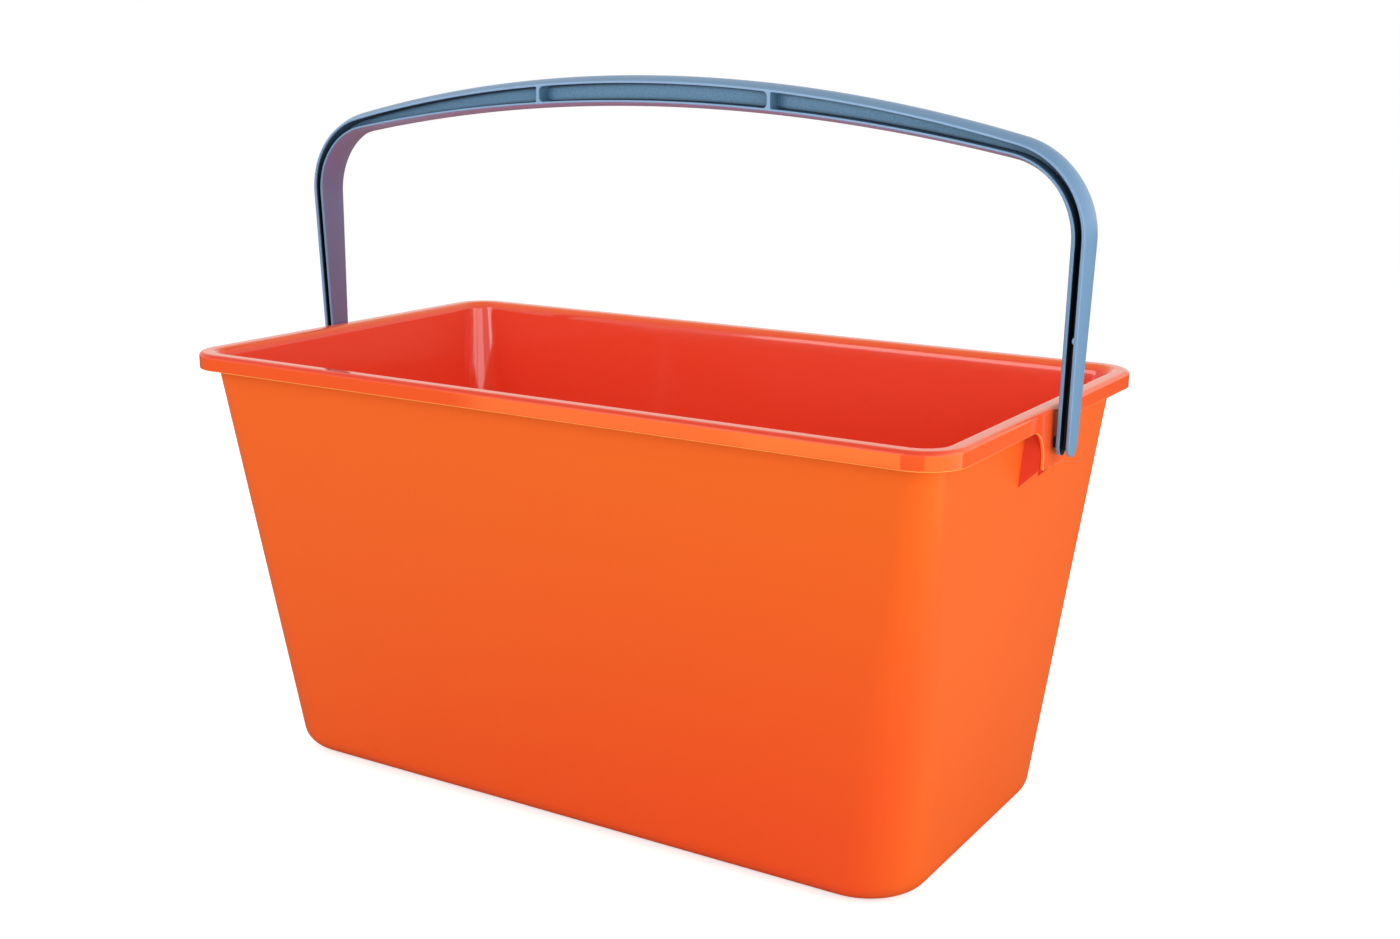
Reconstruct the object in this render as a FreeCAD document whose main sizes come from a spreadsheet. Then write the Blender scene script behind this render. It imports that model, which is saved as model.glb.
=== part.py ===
import FreeCAD, Part
import math
import os

import Sketcher

# Rectangular cleaning bucket: a tapered moulded shell with a turned-down rim,
# and a moulded bail handle that swings on two studs in tabs under the rim.
# Origin at the middle of the foot, +X along the bucket, -Y to its front, +Z up.

# Driving dimensions in millimetres, angles in degrees
SIZES = {
    # Rim
    "rim_length": 480.0,
    "rim_width": 272.4,
    "bucket_height": 248.0,
    "rim_corner_radius": 23.6,
    "rim_overhang": 9.1,
    "rim_plate": 2.2,
    "rim_roll_radius": 5.0,
    "rim_edge_radius": 2.5,
    "skirt_drop": 9.5,
    "skirt_wall": 2.0,
    "skirt_edge_bevel": 0.5,
    # Foot, walls and floor
    "length_spread": 22.2,
    "width_spread": 25.9,
    "foot_corner_radius": 36.0,
    "foot_edge_radius": 12.5,
    "shell_wall": 2.2,
    "foot_recess": 1.2,
    "foot_land": 10.0,
    # Pivot tabs that hang from the skirt on both ends
    "pivot_drop": 18.7,
    "tab_width": 30.0,
    "tab_below_pivot": 12.3,
    "tab_shoulder_radius": 15.0,
    "tab_corner_radius": 1.0,
    "gusset_wall": 1.8,
    "gusset_drop": 11.5,
    # Studs on the handle's legs
    "stud_diameter": 6.0,
    "stud_clearance": 0.05,
    "stud_head_diameter": 8.4,
    "stud_head_thickness": 1.6,
    "stud_tip_diameter": 5.0,
    "stud_tip_length": 1.8,
    "stud_head_gap": 0.4,
    # Handle outline
    "leg_gap": 2.6,
    "leg_thickness": 7.2,
    "leg_lean": 1.5,
    "leg_end_radius": 6.5,
    "leg_taper_length": 120.0,
    "shoulder_radius": 40.8,
    "bail_reach": 174.5,
    "bail_width": 20.0,
    "grip_thickness": 11.7,
    "grip_top_radius": 910.0,
    "grip_bottom_radius": 1120.0,
    "grip_top_crown": 3.0,
    "grip_bottom_crown": 2.2,
    "leg_crown": 0.5,
    "crown_land": 0.6,
    "crown_sink": 0.3,
    # Handle section
    "leg_flange": 1.9,
    "grip_edge": 1.2,
    "web_thickness": 2.0,
    "web_setback": 3.0,
    "rib_thickness": 1.9,
    "rib_place": 75.6,
    "middle_pocket_radius": 2.6,
    "outer_pocket_radius": 0.8,
    # Length by which a cutter passes what it cuts
    "overrun": 2.0,
}

# Heights and reaches that several features share, as formulas on the sheet
SKIRT_BOTTOM = "(Sizes.bucket_height - Sizes.skirt_drop)"
PLATE_BOTTOM = "(Sizes.bucket_height - Sizes.rim_plate)"
PIVOT_HEIGHT = "(Sizes.bucket_height - Sizes.pivot_drop)"
TAB_BOTTOM = f"({PIVOT_HEIGHT} - Sizes.tab_below_pivot)"
MOUTH_LENGTH = "(Sizes.rim_length - 2 * Sizes.rim_overhang)"
MOUTH_WIDTH = "(Sizes.rim_width - 2 * Sizes.rim_overhang)"
MOUTH_CORNER = "(Sizes.rim_corner_radius - Sizes.rim_overhang)"
FOOT_LENGTH = f"({MOUTH_LENGTH} - 2 * Sizes.length_spread)"
FOOT_WIDTH = f"({MOUTH_WIDTH} - 2 * Sizes.width_spread)"
LEG_INNER = "(Sizes.rim_length / 2 + Sizes.leg_gap)"
LEG_OUTER = f"({LEG_INNER} + Sizes.leg_thickness)"
GRIP_TOP = f"({PIVOT_HEIGHT} + Sizes.bail_reach)"
GRIP_BOTTOM = f"({GRIP_TOP} - Sizes.grip_thickness)"
LEG_BOTTOM = f"({PIVOT_HEIGHT} - Sizes.leg_end_radius)"
BLANK_BOTTOM = f"({LEG_BOTTOM} - Sizes.overrun)"
WEB_BOTTOM = f"({LEG_BOTTOM} + Sizes.web_setback)"
LEG_ANGLE = "((90 - Sizes.leg_lean) * 1 deg)"

# The cone that rounds a corner of the walls: how far its axis runs, and its slope
LEAN_X = "(Sizes.length_spread / Sizes.bucket_height)"
LEAN_Y = "(Sizes.width_spread / Sizes.bucket_height)"
CORNER_CHANGE = f"(Sizes.foot_corner_radius - {MOUTH_CORNER})"
RUN_X = f"(Sizes.length_spread + {CORNER_CHANGE} * hypot(1; {LEAN_X}))"
RUN_Y = f"(Sizes.width_spread + {CORNER_CHANGE} * hypot(1; {LEAN_Y}))"
CONE_LENGTH = f"hypot({RUN_X}; {RUN_Y}; Sizes.bucket_height)"
CONE_SLOPE = f"({CORNER_CHANGE} / {CONE_LENGTH})"
CONE_SPREAD = f"sqrt(1 - {CONE_SLOPE} ^ 2)"

# The sketcher's numbers for an edge's points, for the origin and for the upright axis
START, END, CENTRE = range(1, 4)
ORIGIN = -START
V_AXIS = -END

doc = FreeCAD.newDocument("cleaning_bucket")
sheet = doc.addObject("Spreadsheet::Sheet", "Sizes")
for row, (alias, size) in enumerate(SIZES.items(), start=1):
    sheet.set(f"A{row}", alias)
    sheet.set(f"B{row}", str(size))
    sheet.setAlias(f"B{row}", alias)
doc.recompute()


def value(formula):
    """The number that a formula on the sheet gives."""
    return float(sheet.evalExpression(formula))


def new_sketch(body, name, role, offset=None):
    """A sketch on one of the body's origin planes, or on a plane parallel to it."""
    sketch = body.newObject("Sketcher::SketchObject", name)
    planes = [item for item in body.Origin.OriginFeatures if item.Role == role]
    sketch.AttachmentSupport = [(planes[0], "")]
    sketch.MapMode = "FlatFace"
    if offset:
        sketch.setExpression("AttachmentOffset.Base.z", offset)
    return sketch


def bind(sketch, kind, references, formula):
    """A dimension of the sketch that follows a formula on the sheet."""
    index = sketch.addConstraint(Sketcher.Constraint(kind, *references, value(formula)))
    name = f"size_{index}"
    sketch.renameConstraint(index, name)
    sketch.setExpression(f"Constraints.{name}", formula)


def rule(sketch, kind, *references):
    """A geometric constraint."""
    sketch.addConstraint(Sketcher.Constraint(kind, *references))


def line(sketch, start, end):
    points = [FreeCAD.Vector(*point, 0) for point in (start, end)]
    return sketch.addGeometry(Part.LineSegment(*points), False)


def arc(sketch, centre, radius, start_angle, end_angle):
    """An arc that runs counter-clockwise from one angle to the other."""
    circle = Part.Circle(FreeCAD.Vector(*centre, 0), FreeCAD.Vector(0, 0, 1), radius)
    return sketch.addGeometry(Part.ArcOfCircle(circle, start_angle, end_angle), False)


def closed_by_lines(sketch, points):
    """A closed chain of straight lines through the points."""
    edges = [line(sketch, points[i - 1], point) for i, point in enumerate(points)]
    for i, edge in enumerate(edges):
        rule(sketch, "Coincident", edges[i - 1], END, edge, START)
    return edges


def place(sketch, edge, end, x_formula, y_formula):
    """Put an edge's end at a place that is given from the sketch's origin."""
    for kind, formula in (("DistanceX", x_formula), ("DistanceY", y_formula)):
        bind(sketch, kind, (ORIGIN, START, edge, end), formula)


def rounded_rectangle(sketch, length, width, radius):
    """A rectangle about the sketch's origin, with four equal round corners."""
    half_x = value(length) / 2
    half_y = value(width) / 2
    r = value(radius)
    quarter = math.pi / 2
    sides = []
    corners = []
    for i, (sx, sy) in enumerate(((1, -1), (1, 1), (-1, 1), (-1, -1))):
        centre = (sx * (half_x - r), sy * (half_y - r))
        start_angle = (i - 1) * quarter
        corners.append(arc(sketch, centre, r, start_angle, start_angle + quarter))
    arcs = [sketch.Geometry[corner] for corner in corners]
    for i in range(4):
        start = arcs[i].EndPoint
        end = arcs[(i + 1) % 4].StartPoint
        sides.append(line(sketch, (start.x, start.y), (end.x, end.y)))
    for i, side in enumerate(sides):
        rule(sketch, "Tangent", corners[i], END, side, START)
        rule(sketch, "Tangent", side, END, corners[(i + 1) % 4], START)
        rule(sketch, "Horizontal" if i % 2 else "Vertical", side)
    for corner in corners[1:]:
        rule(sketch, "Equal", corners[0], corner)
    rule(sketch, "Symmetric", corners[0], CENTRE, corners[2], CENTRE, ORIGIN, START)
    bind(sketch, "Radius", (corners[0],), radius)
    bind(sketch, "DistanceX", (sides[2], START, sides[0], START), length)
    bind(sketch, "DistanceY", (sides[3], START, sides[1], START), width)


def rim_outline(sketch, inset):
    """The rim's outline, drawn in by an even inset."""
    rounded_rectangle(
        sketch,
        f"Sizes.rim_length - 2 * {inset}",
        f"Sizes.rim_width - 2 * {inset}",
        f"Sizes.rim_corner_radius - {inset}",
    )


def foot_outline(sketch, inset):
    """The foot's outline, drawn in by an even inset."""
    rounded_rectangle(
        sketch,
        f"{FOOT_LENGTH} - 2 * {inset}",
        f"{FOOT_WIDTH} - 2 * {inset}",
        f"Sizes.foot_corner_radius - {inset}",
    )


def feature(body, kind, name, profile, reverse=False, symmetric=False, **lengths):
    """A pad or pocket of a sketch."""
    item = body.newObject(f"PartDesign::{kind}", name)
    item.Profile = profile
    if reverse:
        item.Reversed = True
    if symmetric:
        item.SideType = "Symmetric"
    for key, formula in lengths.items():
        item.setExpression(key, formula)
    doc.recompute()
    return item


def edge_names(base, wanted):
    """Names of the edges of a feature for which wanted(edge) is true."""
    edges = enumerate(base.Shape.Edges, start=1)
    return [f"Edge{number}" for number, edge in edges if wanted(edge)]


def round_edges(body, name, radius, wanted):
    base = body.Tip
    item = body.newObject("PartDesign::Fillet", name)
    item.Base = (base, edge_names(base, wanted))
    item.setExpression("Radius", radius)
    doc.recompute()
    return item


def mirrored(body, name, originals, role):
    item = body.newObject("PartDesign::Mirrored", name)
    item.Originals = originals
    planes = [plane for plane in body.Origin.OriginFeatures if plane.Role == role]
    item.MirrorPlane = (planes[0], [""])
    body.Tip = item
    doc.recompute()
    return item


def lies_at(edge, height):
    """Whether a whole edge lies in the level plane at a height."""
    box = edge.BoundBox
    tolerance = value("Sizes.rim_plate") / 100
    return abs(box.ZMin - height) < tolerance and abs(box.ZMax - height) < tolerance


def reach(edge, inset):
    """Whether a level edge belongs to the rim's outline drawn in by an inset."""
    box = edge.BoundBox
    side_x = value(f"Sizes.rim_length / 2 - {inset}")
    side_y = value(f"Sizes.rim_width / 2 - {inset}")
    tolerance = value("Sizes.skirt_wall") / 4
    on_x = abs(max(abs(box.XMin), abs(box.XMax)) - side_x) < tolerance
    on_y = abs(max(abs(box.YMin), abs(box.YMax)) - side_y) < tolerance
    return on_x or on_y


# Bucket shell
def corner_cone():
    """Where a corner's cone starts, how its axis leans, and how far it turns."""
    leans = [value(LEAN_X), value(LEAN_Y)]
    walls = [FreeCAD.Vector(1, 0, -leans[0]), FreeCAD.Vector(0, 1, -leans[1])]
    along = FreeCAD.Vector(*[value(run) for run in (RUN_X, RUN_Y, "Sizes.bucket_height")])
    along.normalize()
    sides = []
    for wall in walls:
        wall.normalize()
        sides.append((wall - along * wall.dot(along)).normalize())
    turn = math.degrees(sides[0].getAngle(sides[1]))
    across = sides[0].cross(along)
    frame = FreeCAD.Rotation(sides[0], along, across, "YXZ")
    r = value("Sizes.foot_corner_radius")
    halves = [value(length) / 2 for length in (FOOT_LENGTH, FOOT_WIDTH)]
    start = [half - r * math.hypot(1, lean) for half, lean in zip(halves, leans)]
    return FreeCAD.Placement(FreeCAD.Vector(*start, 0), frame), turn


def make_corners(body):
    """Round the upright corners with cones, so that they are rounder at the foot."""
    sketch = new_sketch(body, "corner_profile", "XY_Plane")
    sketch.AttachmentOffset, turn = corner_cone()
    low = "(-Sizes.foot_corner_radius)"
    high = f"({CONE_LENGTH} + Sizes.foot_corner_radius)"
    cone = "(Sizes.foot_corner_radius - {0} * {1}) / {2}"
    outside = "2 * Sizes.foot_corner_radius"
    corners = (
        (cone.format(low, CONE_SLOPE, CONE_SPREAD), low),
        (outside, low),
        (outside, high),
        (cone.format(high, CONE_SLOPE, CONE_SPREAD), high),
    )
    edges = closed_by_lines(sketch, [(value(x), value(y)) for x, y in corners])
    for edge, (x_formula, y_formula) in zip(edges, corners):
        place(sketch, edge, END, x_formula, y_formula)
    cut = body.newObject("PartDesign::Groove", "corner")
    cut.Profile = sketch
    cut.ReferenceAxis = (sketch, ["V_Axis"])
    cut.Angle = turn
    doc.recompute()
    item = body.newObject("PartDesign::MultiTransform", "corners")
    item.Originals = [cut]
    steps = []
    for name, role in (("corners_across", "YZ_Plane"), ("corners_along", "XZ_Plane")):
        step = body.newObject("PartDesign::Mirrored", name)
        planes = [plane for plane in body.Origin.OriginFeatures if plane.Role == role]
        step.MirrorPlane = (planes[0], [""])
        steps.append(step)
    item.Transformations = steps
    body.Tip = item
    doc.recompute()


def make_walls(body):
    """Drafted walls with round corners and a round foot, emptied to an even wall."""
    walls = body.newObject("PartDesign::AdditiveWedge", "walls")
    planes = [plane for plane in body.Origin.OriginFeatures if plane.Role == "XZ_Plane"]
    walls.AttachmentSupport = [(planes[0], "")]
    walls.MapMode = "FlatFace"
    for low, high, length in (
        ("Xmin", "Xmax", FOOT_LENGTH),
        ("Zmin", "Zmax", FOOT_WIDTH),
        ("X2min", "X2max", MOUTH_LENGTH),
        ("Z2min", "Z2max", MOUTH_WIDTH),
    ):
        walls.setExpression(low, f"-{length} / 2")
        walls.setExpression(high, f"{length} / 2")
    walls.Ymin = 0
    walls.setExpression("Ymax", "Sizes.bucket_height")
    doc.recompute()
    make_corners(body)
    round_edges(body, "foot_edge", "Sizes.foot_edge_radius", lambda edge: lies_at(edge, 0))
    base = body.Tip
    top = value("Sizes.bucket_height")
    tolerance = value("Sizes.shell_wall") / 100
    mouth = []
    for number, face in enumerate(base.Shape.Faces, start=1):
        box = face.BoundBox
        if abs(box.ZMin - top) < tolerance and abs(box.ZMax - top) < tolerance:
            mouth.append(f"Face{number}")
    hollow = body.newObject("PartDesign::Thickness", "hollow")
    hollow.Base = (base, mouth)
    hollow.setExpression("Value", "Sizes.shell_wall")
    doc.recompute()


def make_rim(body):
    """The flat plate that turns outward at the mouth, and the skirt under its edge."""
    plate = new_sketch(body, "plate_outline", "XY_Plane", PLATE_BOTTOM)
    rim_outline(plate, "0")
    rounded_rectangle(
        plate,
        f"{MOUTH_LENGTH} - Sizes.shell_wall",
        f"{MOUTH_WIDTH} - Sizes.shell_wall",
        f"{MOUTH_CORNER} - Sizes.shell_wall / 2",
    )
    feature(body, "Pad", "rim_plate", plate, Length="Sizes.rim_plate")
    skirt = new_sketch(body, "skirt_outline", "XY_Plane", SKIRT_BOTTOM)
    rim_outline(skirt, "0")
    rim_outline(skirt, "Sizes.skirt_wall")
    depth = "Sizes.skirt_drop - Sizes.rim_plate"
    feature(body, "Pad", "skirt", skirt, Length=depth)
    under = value(PLATE_BOTTOM)
    round_edges(
        body,
        "under_roll",
        "Sizes.rim_roll_radius - Sizes.shell_wall",
        lambda edge: lies_at(edge, under) and not reach(edge, "Sizes.skirt_wall"),
    )


def make_tab(body):
    """The pivot tab under the skirt on the right end, with its gussets and hole."""
    sketch = new_sketch(body, "tab_outline", "YZ_Plane", "Sizes.rim_length / 2")
    half = value("Sizes.tab_width / 2")
    shoulder = value("Sizes.tab_shoulder_radius")
    corner = value("Sizes.tab_corner_radius")
    skirt = value(SKIRT_BOTTOM)
    plate = value(PLATE_BOTTOM)
    bottom = value(TAB_BOTTOM)
    quarter = math.pi / 2
    top = line(sketch, (half + shoulder, plate), (-half - shoulder, plate))
    left_rise = line(sketch, (-half - shoulder, plate), (-half - shoulder, skirt))
    left_arc = arc(sketch, (-half - shoulder, skirt - shoulder), shoulder, 0, quarter)
    left = line(sketch, (-half, skirt - shoulder), (-half, bottom + corner))
    left_foot = arc(sketch, (-half + corner, bottom + corner), corner, 2 * quarter, 3 * quarter)
    foot = line(sketch, (-half + corner, bottom), (half - corner, bottom))
    right_foot = arc(sketch, (half - corner, bottom + corner), corner, 3 * quarter, 4 * quarter)
    right = line(sketch, (half, bottom + corner), (half, skirt - shoulder))
    right_arc = arc(
        sketch, (half + shoulder, skirt - shoulder), shoulder, quarter, 2 * quarter
    )
    right_rise = line(sketch, (half + shoulder, skirt), (half + shoulder, plate))
    rule(sketch, "Coincident", top, END, left_rise, START)
    rule(sketch, "Coincident", left_rise, END, left_arc, END)
    rule(sketch, "Tangent", left_arc, START, left, START)
    rule(sketch, "Tangent", left, END, left_foot, START)
    rule(sketch, "Tangent", left_foot, END, foot, START)
    rule(sketch, "Tangent", foot, END, right_foot, START)
    rule(sketch, "Tangent", right_foot, END, right, START)
    rule(sketch, "Tangent", right, END, right_arc, END)
    rule(sketch, "Coincident", right_arc, START, right_rise, START)
    rule(sketch, "Coincident", right_rise, END, top, START)
    rule(sketch, "Vertical", left_rise)
    rule(sketch, "Vertical", left)
    rule(sketch, "Horizontal", foot)
    rule(sketch, "Symmetric", top, START, top, END, V_AXIS)
    rule(sketch, "Symmetric", right_rise, START, left_rise, END, V_AXIS)
    rule(sketch, "Symmetric", right, END, left, START, V_AXIS)
    rule(sketch, "Equal", right_arc, left_arc)
    rule(sketch, "Equal", right_foot, left_foot)
    rule(sketch, "Vertical", left_arc, CENTRE, left_rise, END)
    bind(sketch, "Radius", (left_arc,), "Sizes.tab_shoulder_radius")
    bind(sketch, "Radius", (left_foot,), "Sizes.tab_corner_radius")
    bind(sketch, "DistanceX", (left, START, right, END), "Sizes.tab_width")
    bind(sketch, "DistanceY", (ORIGIN, START, top, START), PLATE_BOTTOM)
    bind(sketch, "DistanceY", (ORIGIN, START, right_rise, START), SKIRT_BOTTOM)
    bind(sketch, "DistanceY", (ORIGIN, START, foot, START), TAB_BOTTOM)
    tab = feature(body, "Pad", "tab", sketch, reverse=True, Length="Sizes.skirt_wall")

    gussets = []
    for name, side in (("front", "1"), ("back", "-1")):
        plane = f"{side} * (Sizes.tab_width - Sizes.gusset_wall) / 2"
        rib = new_sketch(body, f"gusset_{name}_outline", "XZ_Plane", plane)
        tab_face = "Sizes.rim_length / 2 - Sizes.skirt_wall / 2"
        low = f"({TAB_BOTTOM} - Sizes.gusset_drop)"
        wall = "{0} / 2 + {1} * {2} - Sizes.shell_wall / 2"
        wall_low = wall.format(FOOT_LENGTH, LEAN_X, low)
        wall_high = wall.format(FOOT_LENGTH, LEAN_X, PLATE_BOTTOM)
        corners = (
            (tab_face, TAB_BOTTOM),
            (tab_face, PLATE_BOTTOM),
            (wall_high, PLATE_BOTTOM),
            (wall_low, low),
        )
        edges = closed_by_lines(rib, [(value(x), value(z)) for x, z in corners])
        for edge, (x_formula, z_formula) in zip(edges, corners):
            place(rib, edge, END, x_formula, z_formula)
        gussets.append(
            feature(
                body, "Pad", f"gusset_{name}", rib, symmetric=True, Length="Sizes.gusset_wall"
            )
        )

    bore = new_sketch(body, "pivot_bore_outline", "YZ_Plane", "Sizes.rim_length / 2")
    radius = "Sizes.stud_diameter / 2 + Sizes.stud_clearance"
    centre = FreeCAD.Vector(0, value(PIVOT_HEIGHT), 0)
    circle = Part.Circle(centre, FreeCAD.Vector(0, 0, 1), value(radius))
    ring = bore.addGeometry(circle, False)
    bind(bore, "Radius", (ring,), radius)
    rule(bore, "PointOnObject", ring, CENTRE, V_AXIS)
    bind(bore, "DistanceY", (ORIGIN, START, ring, CENTRE), PIVOT_HEIGHT)
    depth = "Sizes.skirt_wall + Sizes.overrun"
    hole = feature(body, "Pocket", "pivot_bore", bore, Length=depth)
    mirrored(body, "left_end", [tab, *gussets, hole], "YZ_Plane")


def make_edges(body):
    """Rounded rim, bevelled skirt, and the floor's raised panel over a shallow recess."""
    top = value("Sizes.bucket_height")
    round_edges(
        body,
        "rim_roll",
        "Sizes.rim_roll_radius",
        lambda edge: lies_at(edge, top) and not reach(edge, "0"),
    )
    round_edges(
        body,
        "rim_edge",
        "Sizes.rim_edge_radius",
        lambda edge: lies_at(edge, top) and reach(edge, "0"),
    )
    skirt = value(SKIRT_BOTTOM)
    end_face = value("Sizes.rim_length / 2")
    tolerance = value("Sizes.skirt_wall") / 100

    def on_skirt(edge):
        box = edge.BoundBox
        if box.ZMax > skirt + tolerance or edge.isClosed():
            return False
        on_end = box.XLength < tolerance and abs(abs(box.XMin) - end_face) < tolerance
        return on_end or (lies_at(edge, skirt) and reach(edge, "0"))

    base = body.Tip
    bevel = body.newObject("PartDesign::Chamfer", "skirt_edge")
    bevel.Base = (base, edge_names(base, on_skirt))
    bevel.setExpression("Size", "Sizes.skirt_edge_bevel")
    doc.recompute()
    inset = "(Sizes.foot_edge_radius + Sizes.foot_land)"
    panel = new_sketch(body, "panel_outline", "XY_Plane", "Sizes.shell_wall / 2")
    foot_outline(panel, f"({inset} - Sizes.shell_wall)")
    height = "Sizes.foot_recess + Sizes.shell_wall / 2"
    feature(body, "Pad", "floor_panel", panel, Length=height)
    recess = new_sketch(body, "recess_outline", "XY_Plane")
    foot_outline(recess, inset)
    feature(body, "Pocket", "recess", recess, reverse=True, Length="Sizes.foot_recess")


def make_shell():
    body = doc.addObject("PartDesign::Body", "bucket_shell")
    make_walls(body)
    make_rim(body)
    make_tab(body)
    make_edges(body)
    return body


# Bail handle
def arch_geometry(reach_at_pivot, bend, crown, top):
    """Centre and end angle of the bend between a leaning leg and the grip's arc."""
    lean = math.radians(value("Sizes.leg_lean"))
    along = (math.sin(lean), math.cos(lean))
    across = (math.cos(lean), -math.sin(lean))
    start = (reach_at_pivot - bend * across[0], value(PIVOT_HEIGHT) - bend * across[1])
    crown_centre = top - crown
    gap = (start[0], start[1] - crown_centre)
    half = gap[0] * along[0] + gap[1] * along[1]
    rest = gap[0] ** 2 + gap[1] ** 2 - (crown - bend) ** 2
    run = -half + math.sqrt(half ** 2 - rest)
    centre = (start[0] + run * along[0], start[1] + run * along[1])
    turn = math.atan2(centre[1] - crown_centre, centre[0])
    return centre, turn


def polar(centre, radius, angle):
    return (centre[0] + radius * math.cos(angle), centre[1] + radius * math.sin(angle))


def half_arch(sketch, foot, bottom, bend, crown, top, inner_end=None):
    """A leg's line, the bend and the grip's arc on the right, joined and sized."""
    lean = math.radians(value("Sizes.leg_lean"))
    r = value(bend)
    big = value(crown)
    peak = value(top)
    centre, turn = arch_geometry(value(foot), r, big, peak)
    low = value(bottom)
    low_x = value(foot) + math.tan(lean) * (low - value(PIVOT_HEIGHT))
    leg = line(sketch, (low_x, low), polar(centre, r, -lean))
    curve = arc(sketch, centre, r, -lean, turn)
    middle = (0, peak - big)
    last = math.pi - turn if inner_end is None else math.acos(value(inner_end) / big)
    grip = arc(sketch, middle, big, turn, last)
    rule(sketch, "Tangent", leg, END, curve, START)
    rule(sketch, "Tangent", curve, END, grip, START)
    place(
        sketch,
        leg,
        START,
        f"{foot} - tan(Sizes.leg_lean * 1 deg) * ({PIVOT_HEIGHT} - {bottom})",
        bottom,
    )
    bind(sketch, "Angle", (leg,), LEG_ANGLE)
    bind(sketch, "Radius", (curve,), bend)
    bind(sketch, "Radius", (grip,), crown)
    bind(sketch, "DistanceY", (grip, CENTRE, ORIGIN, START), f"{crown} - {top}")
    return leg, curve, grip


def flipped(point):
    return (-point.x, point.y)


def full_arch(sketch, foot, bottom, bend, crown, top):
    """The right half of the arch with its mirror image on the left."""
    leg, curve, grip = half_arch(sketch, foot, bottom, bend, crown, top)
    bow = sketch.Geometry[curve]
    middle = (-bow.Center.x, bow.Center.y)
    r = bow.Radius
    left_curve = arc(sketch, middle, r, math.pi - bow.LastParameter, math.pi - bow.FirstParameter)
    shaft = sketch.Geometry[leg]
    left_leg = line(sketch, flipped(shaft.EndPoint), flipped(shaft.StartPoint))
    rule(sketch, "Coincident", grip, END, left_curve, START)
    rule(sketch, "Coincident", left_curve, END, left_leg, START)
    rule(sketch, "Symmetric", leg, START, left_leg, END, V_AXIS)
    rule(sketch, "Symmetric", leg, END, left_leg, START, V_AXIS)
    rule(sketch, "Symmetric", curve, END, left_curve, START, V_AXIS)
    rule(sketch, "Equal", curve, left_curve)
    return leg, left_leg


def bail_outline(body, name, bottom):
    """The handle seen from the front."""
    sketch = new_sketch(body, name, "XZ_Plane")
    outer = full_arch(
        sketch,
        LEG_OUTER,
        bottom,
        "(Sizes.shoulder_radius + Sizes.leg_thickness)",
        "Sizes.grip_top_radius",
        GRIP_TOP,
    )
    inner = full_arch(
        sketch,
        LEG_INNER,
        bottom,
        "Sizes.shoulder_radius",
        "Sizes.grip_bottom_radius",
        GRIP_BOTTOM,
    )
    for outer_leg, inner_leg, end in zip(outer, inner, (START, END)):
        ends = []
        for leg in (outer_leg, inner_leg):
            shape = sketch.Geometry[leg]
            point = shape.StartPoint if end == START else shape.EndPoint
            ends.append((point.x, point.y))
        sole = line(sketch, *ends)
        rule(sketch, "Coincident", sole, START, outer_leg, end)
        rule(sketch, "Coincident", sole, END, inner_leg, end)
    return sketch


def crown_strip(body, name, side, edge_height, swell, path):
    """A strip with a bowed face, swept from the grip's middle down the right leg."""
    spine = new_sketch(body, f"{name}_path", "XZ_Plane")
    grip = half_arch(spine, *path, "0")[2]
    rule(spine, "PointOnObject", grip, END, V_AXIS)
    rule(spine, "PointOnObject", grip, CENTRE, V_AXIS)

    profile = new_sketch(body, f"{name}_section", "YZ_Plane")
    half = "(Sizes.bail_width / 2 - Sizes.crown_land)"
    radius = f"({half} ^ 2 + {swell} ^ 2) / 2 / {swell}"
    centre = f"{edge_height} + {side} * ({swell} - {radius})"
    shoulder = f"{edge_height} - {side} * Sizes.crown_sink"
    base = f"{edge_height} - {side} * Sizes.grip_edge"
    r = value(radius)
    middle = value(centre)
    spread = math.acos(abs(value(shoulder) - middle) / r)
    upward = side * math.pi / 2
    bow = arc(profile, (0, middle), r, upward - spread, upward + spread)
    ends = [polar((0, middle), r, upward + turn) for turn in (-spread, spread)]
    low = value(base)
    rim = [
        line(profile, ends[1], (ends[1][0], low)),
        line(profile, (ends[1][0], low), (ends[0][0], low)),
        line(profile, (ends[0][0], low), ends[0]),
    ]
    chain = [bow, *rim]
    for i, part in enumerate(chain):
        rule(profile, "Coincident", part, END, chain[(i + 1) % 4], START)
    rule(profile, "Vertical", rim[0])
    rule(profile, "Vertical", rim[2])
    rule(profile, "Horizontal", rim[1])
    rule(profile, "PointOnObject", bow, CENTRE, V_AXIS)
    rule(profile, "Horizontal", bow, START, bow, END)
    bind(profile, "Radius", (bow,), radius)
    bind(profile, "DistanceY", (ORIGIN, START, bow, CENTRE), centre)
    bind(profile, "DistanceY", (ORIGIN, START, bow, START), shoulder)
    bind(profile, "DistanceY", (ORIGIN, START, rim[1], START), base)
    strip = body.newObject("PartDesign::AdditivePipe", name)
    strip.Profile = profile
    strip.Spine = (spine, [f"Edge{number}" for number in (1, 2, 3)])
    doc.recompute()
    return strip


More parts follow.
